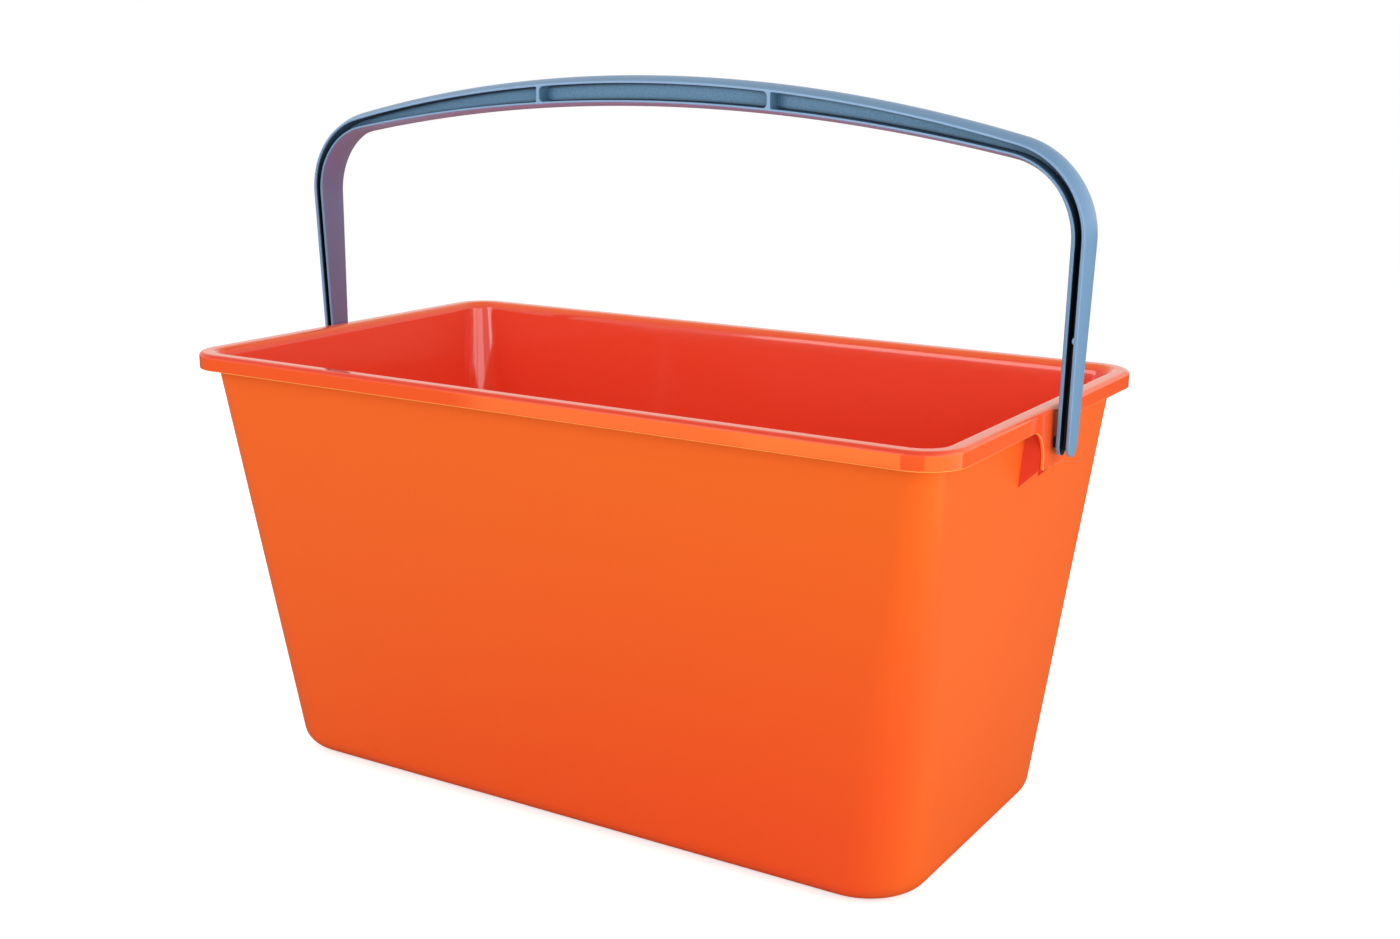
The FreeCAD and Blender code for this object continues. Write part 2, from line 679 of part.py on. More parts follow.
def side_channel(sketch):
    """The open channel of the right leg, which widens into the grip's end pocket."""
    lip = "(Sizes.rib_place + Sizes.rib_thickness / 2)"
    top = half_arch(
        sketch,
        f"({LEG_OUTER} - Sizes.leg_flange)",
        BLANK_BOTTOM,
        "(Sizes.shoulder_radius + Sizes.leg_thickness - Sizes.leg_flange)",
        "(Sizes.grip_top_radius - Sizes.grip_edge)",
        f"({GRIP_TOP} - Sizes.grip_edge)",
        lip,
    )
    low = half_arch(
        sketch,
        f"({LEG_INNER} + Sizes.leg_flange)",
        BLANK_BOTTOM,
        "(Sizes.shoulder_radius + Sizes.leg_flange)",
        "(Sizes.grip_bottom_radius + Sizes.grip_edge)",
        f"({GRIP_BOTTOM} + Sizes.grip_edge)",
        lip,
    )
    ends = []
    for chain, side in ((top, END), (low, END)):
        point = sketch.Geometry[chain[2]].EndPoint
        ends.append((point.x, point.y))
    wall = line(sketch, *ends)
    rule(sketch, "Coincident", top[2], END, wall, START)
    rule(sketch, "Coincident", low[2], END, wall, END)
    rule(sketch, "Vertical", wall)
    bind(sketch, "DistanceX", (ORIGIN, START, wall, START), lip)
    starts = [sketch.Geometry[chain[0]].StartPoint for chain in (top, low)]
    sole = line(sketch, *[(point.x, point.y) for point in starts])
    rule(sketch, "Coincident", top[0], START, sole, START)
    rule(sketch, "Coincident", low[0], START, sole, END)
    for chain in (top, low):
        rule(sketch, "PointOnObject", chain[2], CENTRE, V_AXIS)


def middle_pocket(sketch):
    """The pocket between the grip's two ribs."""
    half = value("Sizes.rib_place - Sizes.rib_thickness / 2")
    bows = []
    for radius, top in (
        ("(Sizes.grip_top_radius - Sizes.grip_edge)", f"({GRIP_TOP} - Sizes.grip_edge)"),
        ("(Sizes.grip_bottom_radius + Sizes.grip_edge)", f"({GRIP_BOTTOM} + Sizes.grip_edge)"),
    ):
        r = value(radius)
        spread = math.asin(half / r)
        quarter = math.pi / 2
        bow = arc(sketch, (0, value(top) - r), r, quarter - spread, quarter + spread)
        rule(sketch, "PointOnObject", bow, CENTRE, V_AXIS)
        bind(sketch, "Radius", (bow,), radius)
        bind(sketch, "DistanceY", (bow, CENTRE, ORIGIN, START), f"{radius} - {top}")
        bows.append(bow)
    for end in (START, END):
        ends = []
        for bow in bows:
            shape = sketch.Geometry[bow]
            point = shape.StartPoint if end == START else shape.EndPoint
            ends.append((point.x, point.y))
        wall = line(sketch, *ends)
        rule(sketch, "Coincident", wall, START, bows[0], end)
        rule(sketch, "Coincident", wall, END, bows[1], end)
        rule(sketch, "Vertical", wall)
        if end == START:
            place_x = "Sizes.rib_place - Sizes.rib_thickness / 2"
            bind(sketch, "DistanceX", (ORIGIN, START, wall, START), place_x)
    rule(sketch, "Symmetric", bows[0], START, bows[0], END, V_AXIS)


def make_leg_taper(body):
    """Cut both legs from the side, so that they narrow to a round end at the pivot."""
    sketch = new_sketch(body, "leg_side", "YZ_Plane")
    r = value("Sizes.leg_end_radius")
    pivot = value(PIVOT_HEIGHT)
    half = value("Sizes.bail_width / 2")
    wide = half + value("Sizes.overrun")
    high = pivot + value("Sizes.leg_taper_length")
    low = value(BLANK_BOTTOM) - value("Sizes.overrun")
    span = math.hypot(half, high - pivot)
    tilt = math.atan2(high - pivot, half) - math.acos(r / span)
    touch = polar((0, pivot), r, tilt)
    right = line(sketch, (half, high), touch)
    sole = arc(sketch, (0, pivot), r, math.pi - tilt, 2 * math.pi + tilt)
    left = line(sketch, (-touch[0], touch[1]), (-half, high))
    frame = [(-half, high), (-wide, high), (-wide, low), (wide, low), (wide, high), (half, high)]
    outside = [line(sketch, frame[i], frame[i + 1]) for i in range(5)]
    rule(sketch, "Tangent", right, END, sole, END)
    rule(sketch, "Tangent", sole, START, left, START)
    for before, after in zip([left, *outside], [*outside, right]):
        rule(sketch, "Coincident", before, END, after, START)
    for i in (0, 1, 3, 4):
        rule(sketch, "Vertical" if i % 2 else "Horizontal", outside[i])
    rule(sketch, "Symmetric", right, START, left, END, V_AXIS)
    rule(sketch, "Symmetric", outside[2], START, outside[2], END, V_AXIS)
    rule(sketch, "PointOnObject", sole, CENTRE, V_AXIS)
    bind(sketch, "Radius", (sole,), "Sizes.leg_end_radius")
    bind(sketch, "DistanceY", (ORIGIN, START, sole, CENTRE), PIVOT_HEIGHT)
    bind(sketch, "DistanceX", (left, END, right, START), "Sizes.bail_width")
    top = f"{PIVOT_HEIGHT} + Sizes.leg_taper_length"
    bind(sketch, "DistanceY", (ORIGIN, START, right, START), top)
    width = "Sizes.bail_width + 2 * Sizes.overrun"
    bind(sketch, "DistanceX", (outside[2], START, outside[2], END), width)
    bottom = f"{BLANK_BOTTOM} - Sizes.overrun"
    bind(sketch, "DistanceY", (ORIGIN, START, outside[2], START), bottom)
    length = f"2 * ({LEG_OUTER} + Sizes.overrun)"
    feature(body, "Pocket", "leg_taper", sketch, symmetric=True, Length=length)


def make_stud(body):
    """A turned stud on the right leg, whose head snaps in behind the tab."""
    sketch = new_sketch(body, "stud_profile", "XZ_Plane")
    sketch.setExpression("AttachmentOffset.Base.y", PIVOT_HEIGHT)
    head = "(Sizes.rim_length / 2 - Sizes.skirt_wall - Sizes.stud_head_gap)"
    root = f"({LEG_INNER} + Sizes.leg_flange / 2)"
    shoulder = f"({head} - Sizes.stud_head_thickness)"
    tip = f"({shoulder} - Sizes.stud_tip_length)"
    corners = (
        (root, "0"),
        (root, "Sizes.stud_diameter / 2"),
        (head, "Sizes.stud_diameter / 2"),
        (head, "Sizes.stud_head_diameter / 2"),
        (shoulder, "Sizes.stud_head_diameter / 2"),
        (tip, "Sizes.stud_tip_diameter / 2"),
        (tip, "0"),
    )
    edges = closed_by_lines(sketch, [(value(x), value(z)) for x, z in corners])
    for edge, (x_formula, z_formula) in zip(edges, corners):
        bind(sketch, "DistanceX", (ORIGIN, START, edge, END), x_formula)
        if z_formula == "0":
            rule(sketch, "PointOnObject", edge, END, ORIGIN)
        else:
            bind(sketch, "DistanceY", (ORIGIN, START, edge, END), z_formula)
    stud = body.newObject("PartDesign::Revolution", "stud")
    stud.Profile = sketch
    stud.ReferenceAxis = (sketch, ["H_Axis"])
    doc.recompute()
    mirrored(body, "left_stud", [stud], "YZ_Plane")


def make_bail():
    body = doc.addObject("PartDesign::Body", "bail_handle")
    blank = bail_outline(body, "blank_outline", BLANK_BOTTOM)
    feature(body, "Pad", "blank", blank, symmetric=True, Length="Sizes.bail_width")
    top_path = (
        f"({LEG_OUTER} + Sizes.leg_crown)",
        BLANK_BOTTOM,
        "(Sizes.shoulder_radius + Sizes.leg_thickness + Sizes.leg_crown)",
        "(Sizes.grip_top_radius + Sizes.grip_top_crown)",
        f"({GRIP_TOP} + Sizes.grip_top_crown)",
    )
    low_path = (
        f"({LEG_INNER} - Sizes.leg_crown)",
        BLANK_BOTTOM,
        "(Sizes.shoulder_radius - Sizes.leg_crown)",
        "(Sizes.grip_bottom_radius - Sizes.grip_bottom_crown)",
        f"({GRIP_BOTTOM} - Sizes.grip_bottom_crown)",
    )
    strips = [
        crown_strip(body, "top_crown", 1, GRIP_TOP, "Sizes.grip_top_crown", top_path),
        crown_strip(body, "low_crown", -1, GRIP_BOTTOM, "Sizes.grip_bottom_crown", low_path),
    ]
    mirrored(body, "left_crowns", strips, "YZ_Plane")
    channels = new_sketch(body, "channel_outlines", "XZ_Plane")
    side_channel(channels)
    through = "Sizes.bail_width + 2 * Sizes.overrun"
    side = feature(body, "Pocket", "right_channel", channels, symmetric=True, Length=through)
    mirrored(body, "left_channel", [side], "YZ_Plane")
    middle = new_sketch(body, "middle_outline", "XZ_Plane")
    middle_pocket(middle)
    feature(body, "Pocket", "middle_pocket", middle, symmetric=True, Length=through)

    tolerance = value("Sizes.rib_thickness") / 100

    def at_rib(edge, place_formula):
        box = edge.BoundBox
        spot = value(place_formula)
        upright = box.ZLength < tolerance and box.XLength < tolerance
        return upright and abs(abs(box.XMin) - spot) < tolerance

    round_edges(
        body,
        "middle_corners",
        "Sizes.middle_pocket_radius",
        lambda edge: at_rib(edge, "Sizes.rib_place - Sizes.rib_thickness / 2"),
    )
    round_edges(
        body,
        "outer_corners",
        "Sizes.outer_pocket_radius",
        lambda edge: at_rib(edge, "Sizes.rib_place + Sizes.rib_thickness / 2"),
    )
    web = bail_outline(body, "web_outline", WEB_BOTTOM)
    feature(body, "Pad", "web", web, symmetric=True, Length="Sizes.web_thickness")
    make_leg_taper(body)
    make_stud(body)
    return body


bodies = [make_shell(), make_bail()]
doc.recompute()

faults = []
for item in doc.Objects:
    if "Invalid" in item.State or "Error" in item.State:
        faults.append(f"{item.Name}: {item.State}")
    if item.TypeId == "Sketcher::SketchObject" and not item.FullyConstrained:
        faults.append(f"{item.Name} is not fully constrained")
for body in bodies:
    shape = body.Shape
    if shape.isNull() or not shape.isValid() or len(shape.Solids) != 1:
        faults.append(f"{body.Label} is not one valid solid")
if faults:
    raise RuntimeError("; ".join(faults))

os.makedirs("parts", exist_ok=True)
for body in bodies:
    body.Shape.exportStep(f"parts/{body.Label}.step")
    box = body.Shape.BoundBox
    print(body.Label, box, round(body.Shape.Volume / 1000, 1), "cm3")
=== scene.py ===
import math

import bmesh
import bpy
from mathutils import Matrix, Vector


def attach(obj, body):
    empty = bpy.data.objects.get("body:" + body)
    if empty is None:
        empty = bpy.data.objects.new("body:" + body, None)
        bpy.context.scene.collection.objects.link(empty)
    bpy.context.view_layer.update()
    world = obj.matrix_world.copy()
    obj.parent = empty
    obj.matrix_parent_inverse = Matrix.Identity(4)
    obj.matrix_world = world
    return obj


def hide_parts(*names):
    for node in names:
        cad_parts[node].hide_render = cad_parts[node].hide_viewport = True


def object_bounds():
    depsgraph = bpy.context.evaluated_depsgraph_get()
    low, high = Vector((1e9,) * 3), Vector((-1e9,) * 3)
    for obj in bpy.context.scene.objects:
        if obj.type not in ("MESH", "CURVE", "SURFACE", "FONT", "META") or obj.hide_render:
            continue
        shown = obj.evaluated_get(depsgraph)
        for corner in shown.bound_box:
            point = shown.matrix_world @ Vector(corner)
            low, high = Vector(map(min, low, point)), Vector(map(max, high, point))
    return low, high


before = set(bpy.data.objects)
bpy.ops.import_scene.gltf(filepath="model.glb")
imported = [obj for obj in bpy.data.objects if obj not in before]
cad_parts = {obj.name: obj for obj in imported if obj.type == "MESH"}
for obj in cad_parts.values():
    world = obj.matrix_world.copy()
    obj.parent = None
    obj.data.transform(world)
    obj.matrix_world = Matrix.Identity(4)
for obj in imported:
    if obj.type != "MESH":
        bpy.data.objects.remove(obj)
cad_box = [list(corner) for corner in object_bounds()]

# Sizes in millimetres, as the CAD has them. Meshes are made in metres.
MM = 0.001
RIM_LENGTH = 480.0
RIM_WIDTH = 272.4
HEIGHT = 248.0
OVERHANG = 9.1
RIM_CORNER = 23.6
RIM_PLATE = 2.2
RIM_ROLL = 5.0
RIM_EDGE = 2.5
SKIRT_DROP = 9.5
SKIRT_WALL = 2.0
SKIRT_EDGE = 0.5
LENGTH_SPREAD = 22.2
WIDTH_SPREAD = 25.9
FOOT_CORNER = 36.0
FOOT_EDGE = 12.5
FOOT_LAND = 10.0
FOOT_RECESS = 1.2
WALL = 2.2
PIVOT = 229.3
TAB_HALF = 15.0
TAB_BOTTOM = 217.0
TAB_SHOULDER = 15.0
TAB_CORNER = 1.0
GUSSET_WALL = 1.8
GUSSET_DROP = 11.5
BORE = 3.05

HALF_RIM = RIM_LENGTH / 2
FOOT_HALF_LENGTH = HALF_RIM - OVERHANG - LENGTH_SPREAD
FOOT_HALF_WIDTH = RIM_WIDTH / 2 - OVERHANG - WIDTH_SPREAD
CORNER_CHANGE = RIM_CORNER - OVERHANG - FOOT_CORNER
SKIRT_BOTTOM = HEIGHT - SKIRT_DROP
PLATE_BOTTOM = HEIGHT - RIM_PLATE

# Rows of the bucket's mesh: the skirt's flat starts at SKIRT_TOP, and the patch with the tab
# reaches PATCH_HALF to both sides of the pivot
SKIRT_TOP = HEIGHT - RIM_EDGE - 0.8
WALL_LEVELS = (FOOT_EDGE + 0.5, 60.0, 120.0, 180.0, HEIGHT - RIM_ROLL - 0.9)
PATCH_HALF = 46.0
CORNER_STEPS = 20
SHOULDER_STEPS = 12
TAB_CORNER_STEPS = 4
TURN_STEPS = 7
BORE_STEPS = 28
SWEEP_DATA = ("corner", "outward", "shift", "section", "on_ring")

# Finishes of the bucket: (polished inside, with a painted deeper red; satin outer wall; thin edge,
# with a painted highlight). A place that is both of the first two is rougher and painted darker.
MATT_PAINTED_SHADE = (1, 1, 0)
PLAIN = (0, 0, 0)


# Camera, at the photograph's place and angle, in metres and degrees
CAMERA_PLACE = (0.5297, -0.8224, 0.4200)
CAMERA_AZIMUTH, CAMERA_ELEVATION, CAMERA_ROLL = 31.305, 13.638, 0.57
CAMERA_LENS = 44.34


def make_camera():
    azimuth, elevation, roll = map(math.radians, (CAMERA_AZIMUTH, CAMERA_ELEVATION, CAMERA_ROLL))
    level = math.cos(elevation)
    back = Vector((math.sin(azimuth) * level, -math.cos(azimuth) * level, math.sin(elevation)))
    right = Vector((math.cos(azimuth), math.sin(azimuth), 0))
    up = back.cross(right)
    turn = Matrix.Rotation(roll, 3, back)
    right, up = turn @ right, turn @ up
    data = bpy.data.cameras.new("camera")
    data.lens = CAMERA_LENS
    data.sensor_width = 36.0
    data.clip_end = 50
    camera = bpy.data.objects.new("camera", data)
    bpy.context.collection.objects.link(camera)
    axes = Matrix((right, up, back)).transposed().to_4x4()
    camera.matrix_world = Matrix.Translation(CAMERA_PLACE) @ axes
    bpy.context.scene.camera = camera


# Materials
def colour(hex_text):
    """An sRGB hex colour as linear RGBA."""
    parts = [int(hex_text[i:i + 2], 16) / 255 for i in (0, 2, 4)]
    linear = [c / 12.92 if c <= 0.04045 else ((c + 0.055) / 1.055) ** 2.4 for c in parts]
    return (*linear, 1.0)


def add(tree, kind, inputs=None, **settings):
    """Add a node with its settings, and set or link its inputs.

    A name means the live input of that name, and a node as a source means its first live output.
    """
    node = tree.nodes.new(kind)
    for name, setting in settings.items():
        setattr(node, name, setting)
    for key, source in (inputs or {}).items():
        if isinstance(key, int):
            socket = node.inputs[key]
        else:
            socket = next(s for s in node.inputs if s.name == key and s.enabled)
        if isinstance(source, bpy.types.Node):
            source = next(s for s in source.outputs if s.enabled)
        if isinstance(source, bpy.types.NodeSocket):
            tree.links.new(source, socket)
        else:
            socket.default_value = source
    return node


def new_material(name):
    material = bpy.data.materials.new(name)
    material.use_nodes = True
    tree = material.node_tree
    tree.nodes.clear()
    return material, tree


def polypropylene_orange():
    """Injection-moulded polypropylene: a saturated orange, polished, with a satin outer wall."""
    material, tree = new_material("moulded_polypropylene_orange")
    place = add(tree, "ShaderNodeTexCoord").outputs["Object"]
    finish = add(tree, "ShaderNodeAttribute", attribute_name="finish").outputs["Vector"]
    inside, wall, edge = add(tree, "ShaderNodeSeparateXYZ", {0: finish}).outputs
    # Where polished inside meets satin wall: the gussets and the rim's turn, rougher and painted
    # darker
    matt = add(tree, "ShaderNodeMath", {0: inside, 1: wall}, operation="MULTIPLY")
    # The pigment drifts a little over 110 mm
    cloud = add(tree, "ShaderNodeTexNoise", {"Vector": place, "Scale": 9.0, "Detail": 3.0})
    # Painted shade: the tone is painted deeper down the two long walls, and more towards the +X end
    x, y, z = add(tree, "ShaderNodeSeparateXYZ", {0: place}).outputs
    side = add(tree, "ShaderNodeMath", {0: y}, operation="ABSOLUTE")
    long_wall = add(
        tree, "ShaderNodeMapRange", {"Value": side, "From Min": 0.085, "From Max": 0.105}
    )
    most = add(
        tree,
        "ShaderNodeMapRange",
        {"Value": x, "From Min": -0.2, "From Max": 0.15, "To Min": 0.4},
    )
    painted_shade_fall = add(
        tree, "ShaderNodeMapRange", {"Value": z, "From Max": 0.22, "To Min": most, "To Max": 0.0}
    )
    low = add(tree, "ShaderNodeMath", {0: painted_shade_fall, 1: wall}, operation="MULTIPLY")
    low = add(tree, "ShaderNodeMath", {0: low, 1: long_wall}, operation="MULTIPLY")
    wall_tint = add(
        tree,
        "ShaderNodeMix",
        {"Factor": cloud, "A": colour("f06323"), "B": colour("ee5f1f")},
        data_type="RGBA",
    )
    tint = colour("f0592a")
    layers = (
        # The satin wall, beside which the skirt, without its sheen, looks redder
        (wall, wall_tint),
        # Painted shade, low on the long walls
        (low, colour("f04822")),
        # Painted light: the inner walls' red is painted deeper, for the light that bounces many
        # times between them
        (inside, colour("f74e32")),
        # The gussets and the rim's turn are rougher and painted a deeper red: painted shade on the
        # gussets, a painted dark reflection on the turn
        (matt, colour("de4830")),
        # Painted highlight: the skirt's thin lower edge is painted yellower, where its rounding
        # catches light
        (edge, colour("ffb45a")),
    )
    for share, over in layers:
        inputs = {"Factor": share, "A": tint, "B": over}
        tint = add(tree, "ShaderNodeMix", inputs, data_type="RGBA")
    # The outside gleams yellow and the inside white; the painted-dark places hardly gleam, which
    # paints the turn's dark reflection
    gleam = colour("ffdc62")
    for share, over in ((inside, colour("ffffff")), (matt, colour("6a2818"))):
        inputs = {"Factor": share, "A": gleam, "B": over}
        gleam = add(tree, "ShaderNodeMix", inputs, data_type="RGBA")
    satin = add(tree, "ShaderNodeMapRange", {"Value": cloud, "To Min": 0.31, "To Max": 0.37})
    polish = add(tree, "ShaderNodeMapRange", {"Value": cloud, "To Min": 0.06, "To Max": 0.09})
    rough = add(tree, "ShaderNodeMix", {"Factor": wall, "A": polish, "B": satin})
    # Slight sink marks 30 mm across, and the satin wall's grain, 0.4 mm across
    ripple = add(tree, "ShaderNodeTexNoise", {"Vector": place, "Scale": 30.0, "Detail": 2.0})
    grain = add(tree, "ShaderNodeTexNoise", {"Vector": place, "Scale": 2500.0, "Detail": 1.0})
    sink = add(
        tree, "ShaderNodeBump", {"Height": ripple, "Strength": 0.06, "Distance": 0.001}
    )
    relief = add(
        tree,
        "ShaderNodeBump",
        {"Height": grain, "Strength": 0.02, "Distance": 0.0002, "Normal": sink},
    )
    shader = add(
        tree,
        "ShaderNodeBsdfPrincipled",
        {
            "Base Color": tint,
            "Roughness": rough,
            "IOR": 1.49,
            "Specular IOR Level": 0.7,
            "Specular Tint": gleam,
            "Normal": relief,
        },
    )
    add(tree, "ShaderNodeOutputMaterial", {"Surface": shader})
    return material


def polypropylene_blue():
    """Injection-moulded polypropylene, fine matt mould: semi-gloss blue-grey, dull channels."""
    material, tree = new_material("moulded_polypropylene_blue")
    place = add(tree, "ShaderNodeTexCoord").outputs["Object"]
    finish = add(tree, "ShaderNodeAttribute", attribute_name="finish").outputs["Vector"]
    channel, shadow, edge = add(tree, "ShaderNodeSeparateXYZ", {0: finish}).outputs
    painted_cast = add(tree, "ShaderNodeAttribute", attribute_name="painted_cast").outputs["Fac"]
    painted_under_grip = add(tree, "ShaderNodeMapRange", {"Value": painted_cast, "From Min": 0.6, "From Max": 1.0})
    # The pigment drifts a little over 70 mm
    cloud = add(tree, "ShaderNodeTexNoise", {"Vector": place, "Scale": 14.0, "Detail": 3.0})
    # Spark-eroded grain, drawn 0.9 mm across so that it shows
    grain = add(tree, "ShaderNodeTexNoise", {"Vector": place, "Scale": 1100.0, "Detail": 2.0})
    channel_tint = add(
        tree,
        "ShaderNodeMix",
        {"Factor": grain, "A": colour("4d789d"), "B": colour("83b3d7")},
        data_type="RGBA",
    )
    tint = colour("6a8fb1")
    layers = (
        (cloud, colour("6488a9")),
        # Painted light: the faces towards the bucket get a painted mauve cast of its orange, paler
        # under the grip as a painted reflection
        (painted_cast, colour("7a597f")),
        (painted_under_grip, colour("9a97c2")),
        # The channel shows its grain; painted shade darkens its corners, and a painted highlight
        # makes the flanges' edges pale
        (channel, channel_tint),
        (shadow, colour("15181f")),
        (edge, colour("8ab0d4")),
    )
    for share, over in layers:
        inputs = {"Factor": share, "A": tint, "B": over}
        tint = add(tree, "ShaderNodeMix", inputs, data_type="RGBA")
    rough = add(tree, "ShaderNodeMapRange", {"Value": channel, "To Min": 0.36, "To Max": 0.5})
    depth = add(tree, "ShaderNodeMapRange", {"Value": channel, "To Min": 0.08, "To Max": 0.35})
    relief = add(
        tree, "ShaderNodeBump", {"Height": grain, "Strength": depth, "Distance": 0.0003}
    )
    shader = add(
        tree,
        "ShaderNodeBsdfPrincipled",
        {
            "Base Color": tint,
            "Roughness": rough,
            "IOR": 1.49,
            "Specular IOR Level": 0.4,
            "Normal": relief,
        },
    )
    add(tree, "ShaderNodeOutputMaterial", {"Surface": shader})
    return material


# Shared by both pieces
def clamp(share):
    return min(max(share, 0.0), 1.0)


def arc(centre, radius, start, end, steps):
    """Points on an arc, from one angle to another, in degrees."""
    points = []
    for i in range(steps + 1):
        angle = math.radians(start + (end - start) * i / steps)
        points.append(
            (centre[0] + radius * math.cos(angle), centre[1] + radius * math.sin(angle))
        )
    return points


def new_verts(bm, spots, look=PLAIN):
    """Vertices at places in millimetres, with one finish."""
    finish = bm.verts.layers.float_vector["finish"]
    verts = [bm.verts.new([c * MM for c in spot]) for spot in spots]
    for vert in verts:
        vert[finish] = look
    return verts


def join_rows(bm, rows, closed=True):
    """Faces from each row of vertices to the next. A row of one vertex is a tip."""
    faces = []
    for a, b in zip(rows, rows[1:]):
        for i in range(0 if closed else 1, max(len(a), len(b))):
            ends = (a[(i - 1) % len(a)], a[i % len(a)], b[i % len(b)], b[(i - 1) % len(b)])
            faces.append(bm.faces.new(list(dict.fromkeys(ends))))
    return faces


def pivot_ring(x, radius, steps):
    """Points on a circle about the pivot's axis."""
    turns = [2 * math.pi * i / steps for i in range(steps)]
    return [(x, radius * math.cos(turn), PIVOT + radius * math.sin(turn)) for turn in turns]


def prism(bm, outline, levels):
    """A closed prism of an outline in the XZ plane, through levels of (y, finish)."""
    loops = [new_verts(bm, [(x, y, z) for x, z in outline], look) for y, look in levels]
    faces = [bm.faces.new(loops[0]), bm.faces.new(loops[-1])]
    return loops, faces + join_rows(bm, loops)


def finished_piece(bm, name, material, body, node):
    """A smooth-shaded object that rides on its body for its CAD node."""
    open_edges = sum(not edge.is_manifold for edge in bm.edges)
    if open_edges:
        print(name, "has open or shared edges:", open_edges)
    mesh = bpy.data.meshes.new(name)
    bm.to_mesh(mesh)
    bm.free()
    mesh.materials.append(material)
    for unused in [a.name for a in mesh.attributes if a.name in SWEEP_DATA]:
        mesh.attributes.remove(mesh.attributes[unused])
    mesh.shade_smooth()
    mesh.set_sharp_from_angle(angle=math.radians(38))
    piece = bpy.data.objects.new(name, mesh)
    bpy.context.collection.objects.link(piece)
    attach(piece, body)
    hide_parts(node)


# Bucket shell: a section swept round a rectangle that widens and sharpens with height
def shell_section():
    """The wall's section and its finishes.

    A point is (inset from the outer wall, level whose outline it follows, height). Rows stand
    about 1 mm from each rounding, so that the flat beside it stays flat.
    """
    slope = (LENGTH_SPREAD + WIDTH_SPREAD) / 2 / HEIGHT
    lean = math.degrees(math.atan(slope))
    upright = math.cos(math.atan(slope))
    thick = WALL / upright
    points = []
    finishes = []

    def finished(*finish):
        """Give the points since the last call their finish."""
        finishes.extend([finish] * (len(points) - len(finishes)))

    def wall_point(w, z):
        """A point of the drafted wall, w outward of the foot's outline."""
        points.append((slope * z - w, z, z))

    def roll_point(w, z):
        """A point of the wall's turn into the rim, w outward of the mouth's outline."""
        points.append((slope * (z - HEIGHT) - w, z, z))

    def floor_point(inset, z):
        points.append((inset, 0.0, z))

    def rim_point(w, z):
        """A point of the rim, w outward of the mouth's outline."""
        points.append((-w, HEIGHT, z))

    low = (slope * FOOT_EDGE - FOOT_EDGE / upright, FOOT_EDGE)
    high = (-slope * RIM_ROLL - thick + RIM_ROLL / upright, HEIGHT - RIM_ROLL)
    panel = FOOT_EDGE + FOOT_LAND - WALL
    top = WALL + FOOT_RECESS
    soft = 0.35
    # Inside, from the floor's panel up to the rim
    for inset in (panel + 9, panel + 1.5):
        floor_point(inset, top)
    for x, z in arc((panel + soft, top - soft), soft, 90, 180, 3):
        floor_point(x, z)
    for x, z in arc((panel - soft, WALL + soft), soft, 0, -90, 3):
        floor_point(x, z)
    floor_point(panel - 1.2, WALL)
    wall_point(low[0] - 0.8, WALL)
    for w, z in arc(low, FOOT_EDGE - WALL, -90, -lean, 9):
        wall_point(w, z)
    for z in WALL_LEVELS:
        points.append((thick, z, z))
    finished(1, 0, 0)
    for i, (w, z) in enumerate(arc(high, RIM_ROLL, 180 - lean, 90, 8)):
        roll_point(w, z)
        finished(max(0.0, 1 - i / 5), 0, 0)
    # The rim's flat top, its turn, whose middle is rougher and carries a painted dark reflection,
    # and the skirt
    rim_point(high[0] + 0.6, HEIGHT)
    rim_point(OVERHANG - RIM_EDGE - 0.5, HEIGHT)
    finished(*PLAIN)
    turn = arc((OVERHANG - RIM_EDGE, HEIGHT - RIM_EDGE), RIM_EDGE, 90, 0, TURN_STEPS)
    for i, (w, z) in enumerate(turn):
        rim_point(w, z)
        # The turn's painted dark reflection is strongest at its middle
        matt = math.sqrt(math.sin(math.pi * i / TURN_STEPS))
        finished(matt, matt, 0)
    rim_point(OVERHANG, SKIRT_TOP)
    finished(*PLAIN)
    # The outer half of the skirt's lower edge gets a painted highlight
    for depth, rise, lowest in skirt_edge():
        rim_point(OVERHANG - depth, SKIRT_BOTTOM + rise)
        finished(0, 0, lowest)
    inner = OVERHANG - SKIRT_WALL
    rim_point(inner, SKIRT_TOP)
    for w, z in arc((inner - soft, PLATE_BOTTOM - soft), soft, 0, 90, 3):
        rim_point(w, z)
    rim_point(high[0] + 0.6, PLATE_BOTTOM)
    finished(*PLAIN)
    # Down the outside to the foot and the recess under the floor
    for w, z in arc(high, RIM_ROLL - WALL, 90, 180 - lean, 6):
        roll_point(w, z)
    for z in reversed(WALL_LEVELS):
        points.append((0.0, z, z))
    for w, z in arc(low, FOOT_EDGE, -lean, -90, 11):
        wall_point(w, z)
    inset = FOOT_EDGE + FOOT_LAND
    floor_point(-low[0] + 0.8, 0)
    floor_point(inset - 1.0, 0)
    for x, z in arc((inset - soft, soft), soft, -90, 0, 3):
        floor_point(x, z)
    for x, z in arc((inset + soft, FOOT_RECESS - soft), soft, 180, 90, 3):
        floor_point(x, z)
    floor_point(inset + 1.2, FOOT_RECESS)
    floor_point(inset + 7, FOOT_RECESS)
    finished(0, 1, 0)
    return points, finishes


def skirt_edge():
    """The skirt's rounded lower edge.

    A point is (depth from the outer face, distance up from the edge, 1 on the edge's outer half).
    """
    r = SKIRT_EDGE
    edge = [(0.0, 0.8)]
    edge += arc((r, r), r, 180, 270, 4)
    edge += arc((SKIRT_WALL - r, r), r, 270, 360, 4)
    edge.append((SKIRT_WALL, 0.8))
    return [(depth, rise, 1 if depth <= r and rise < 0.5 else 0) for depth, rise in edge]


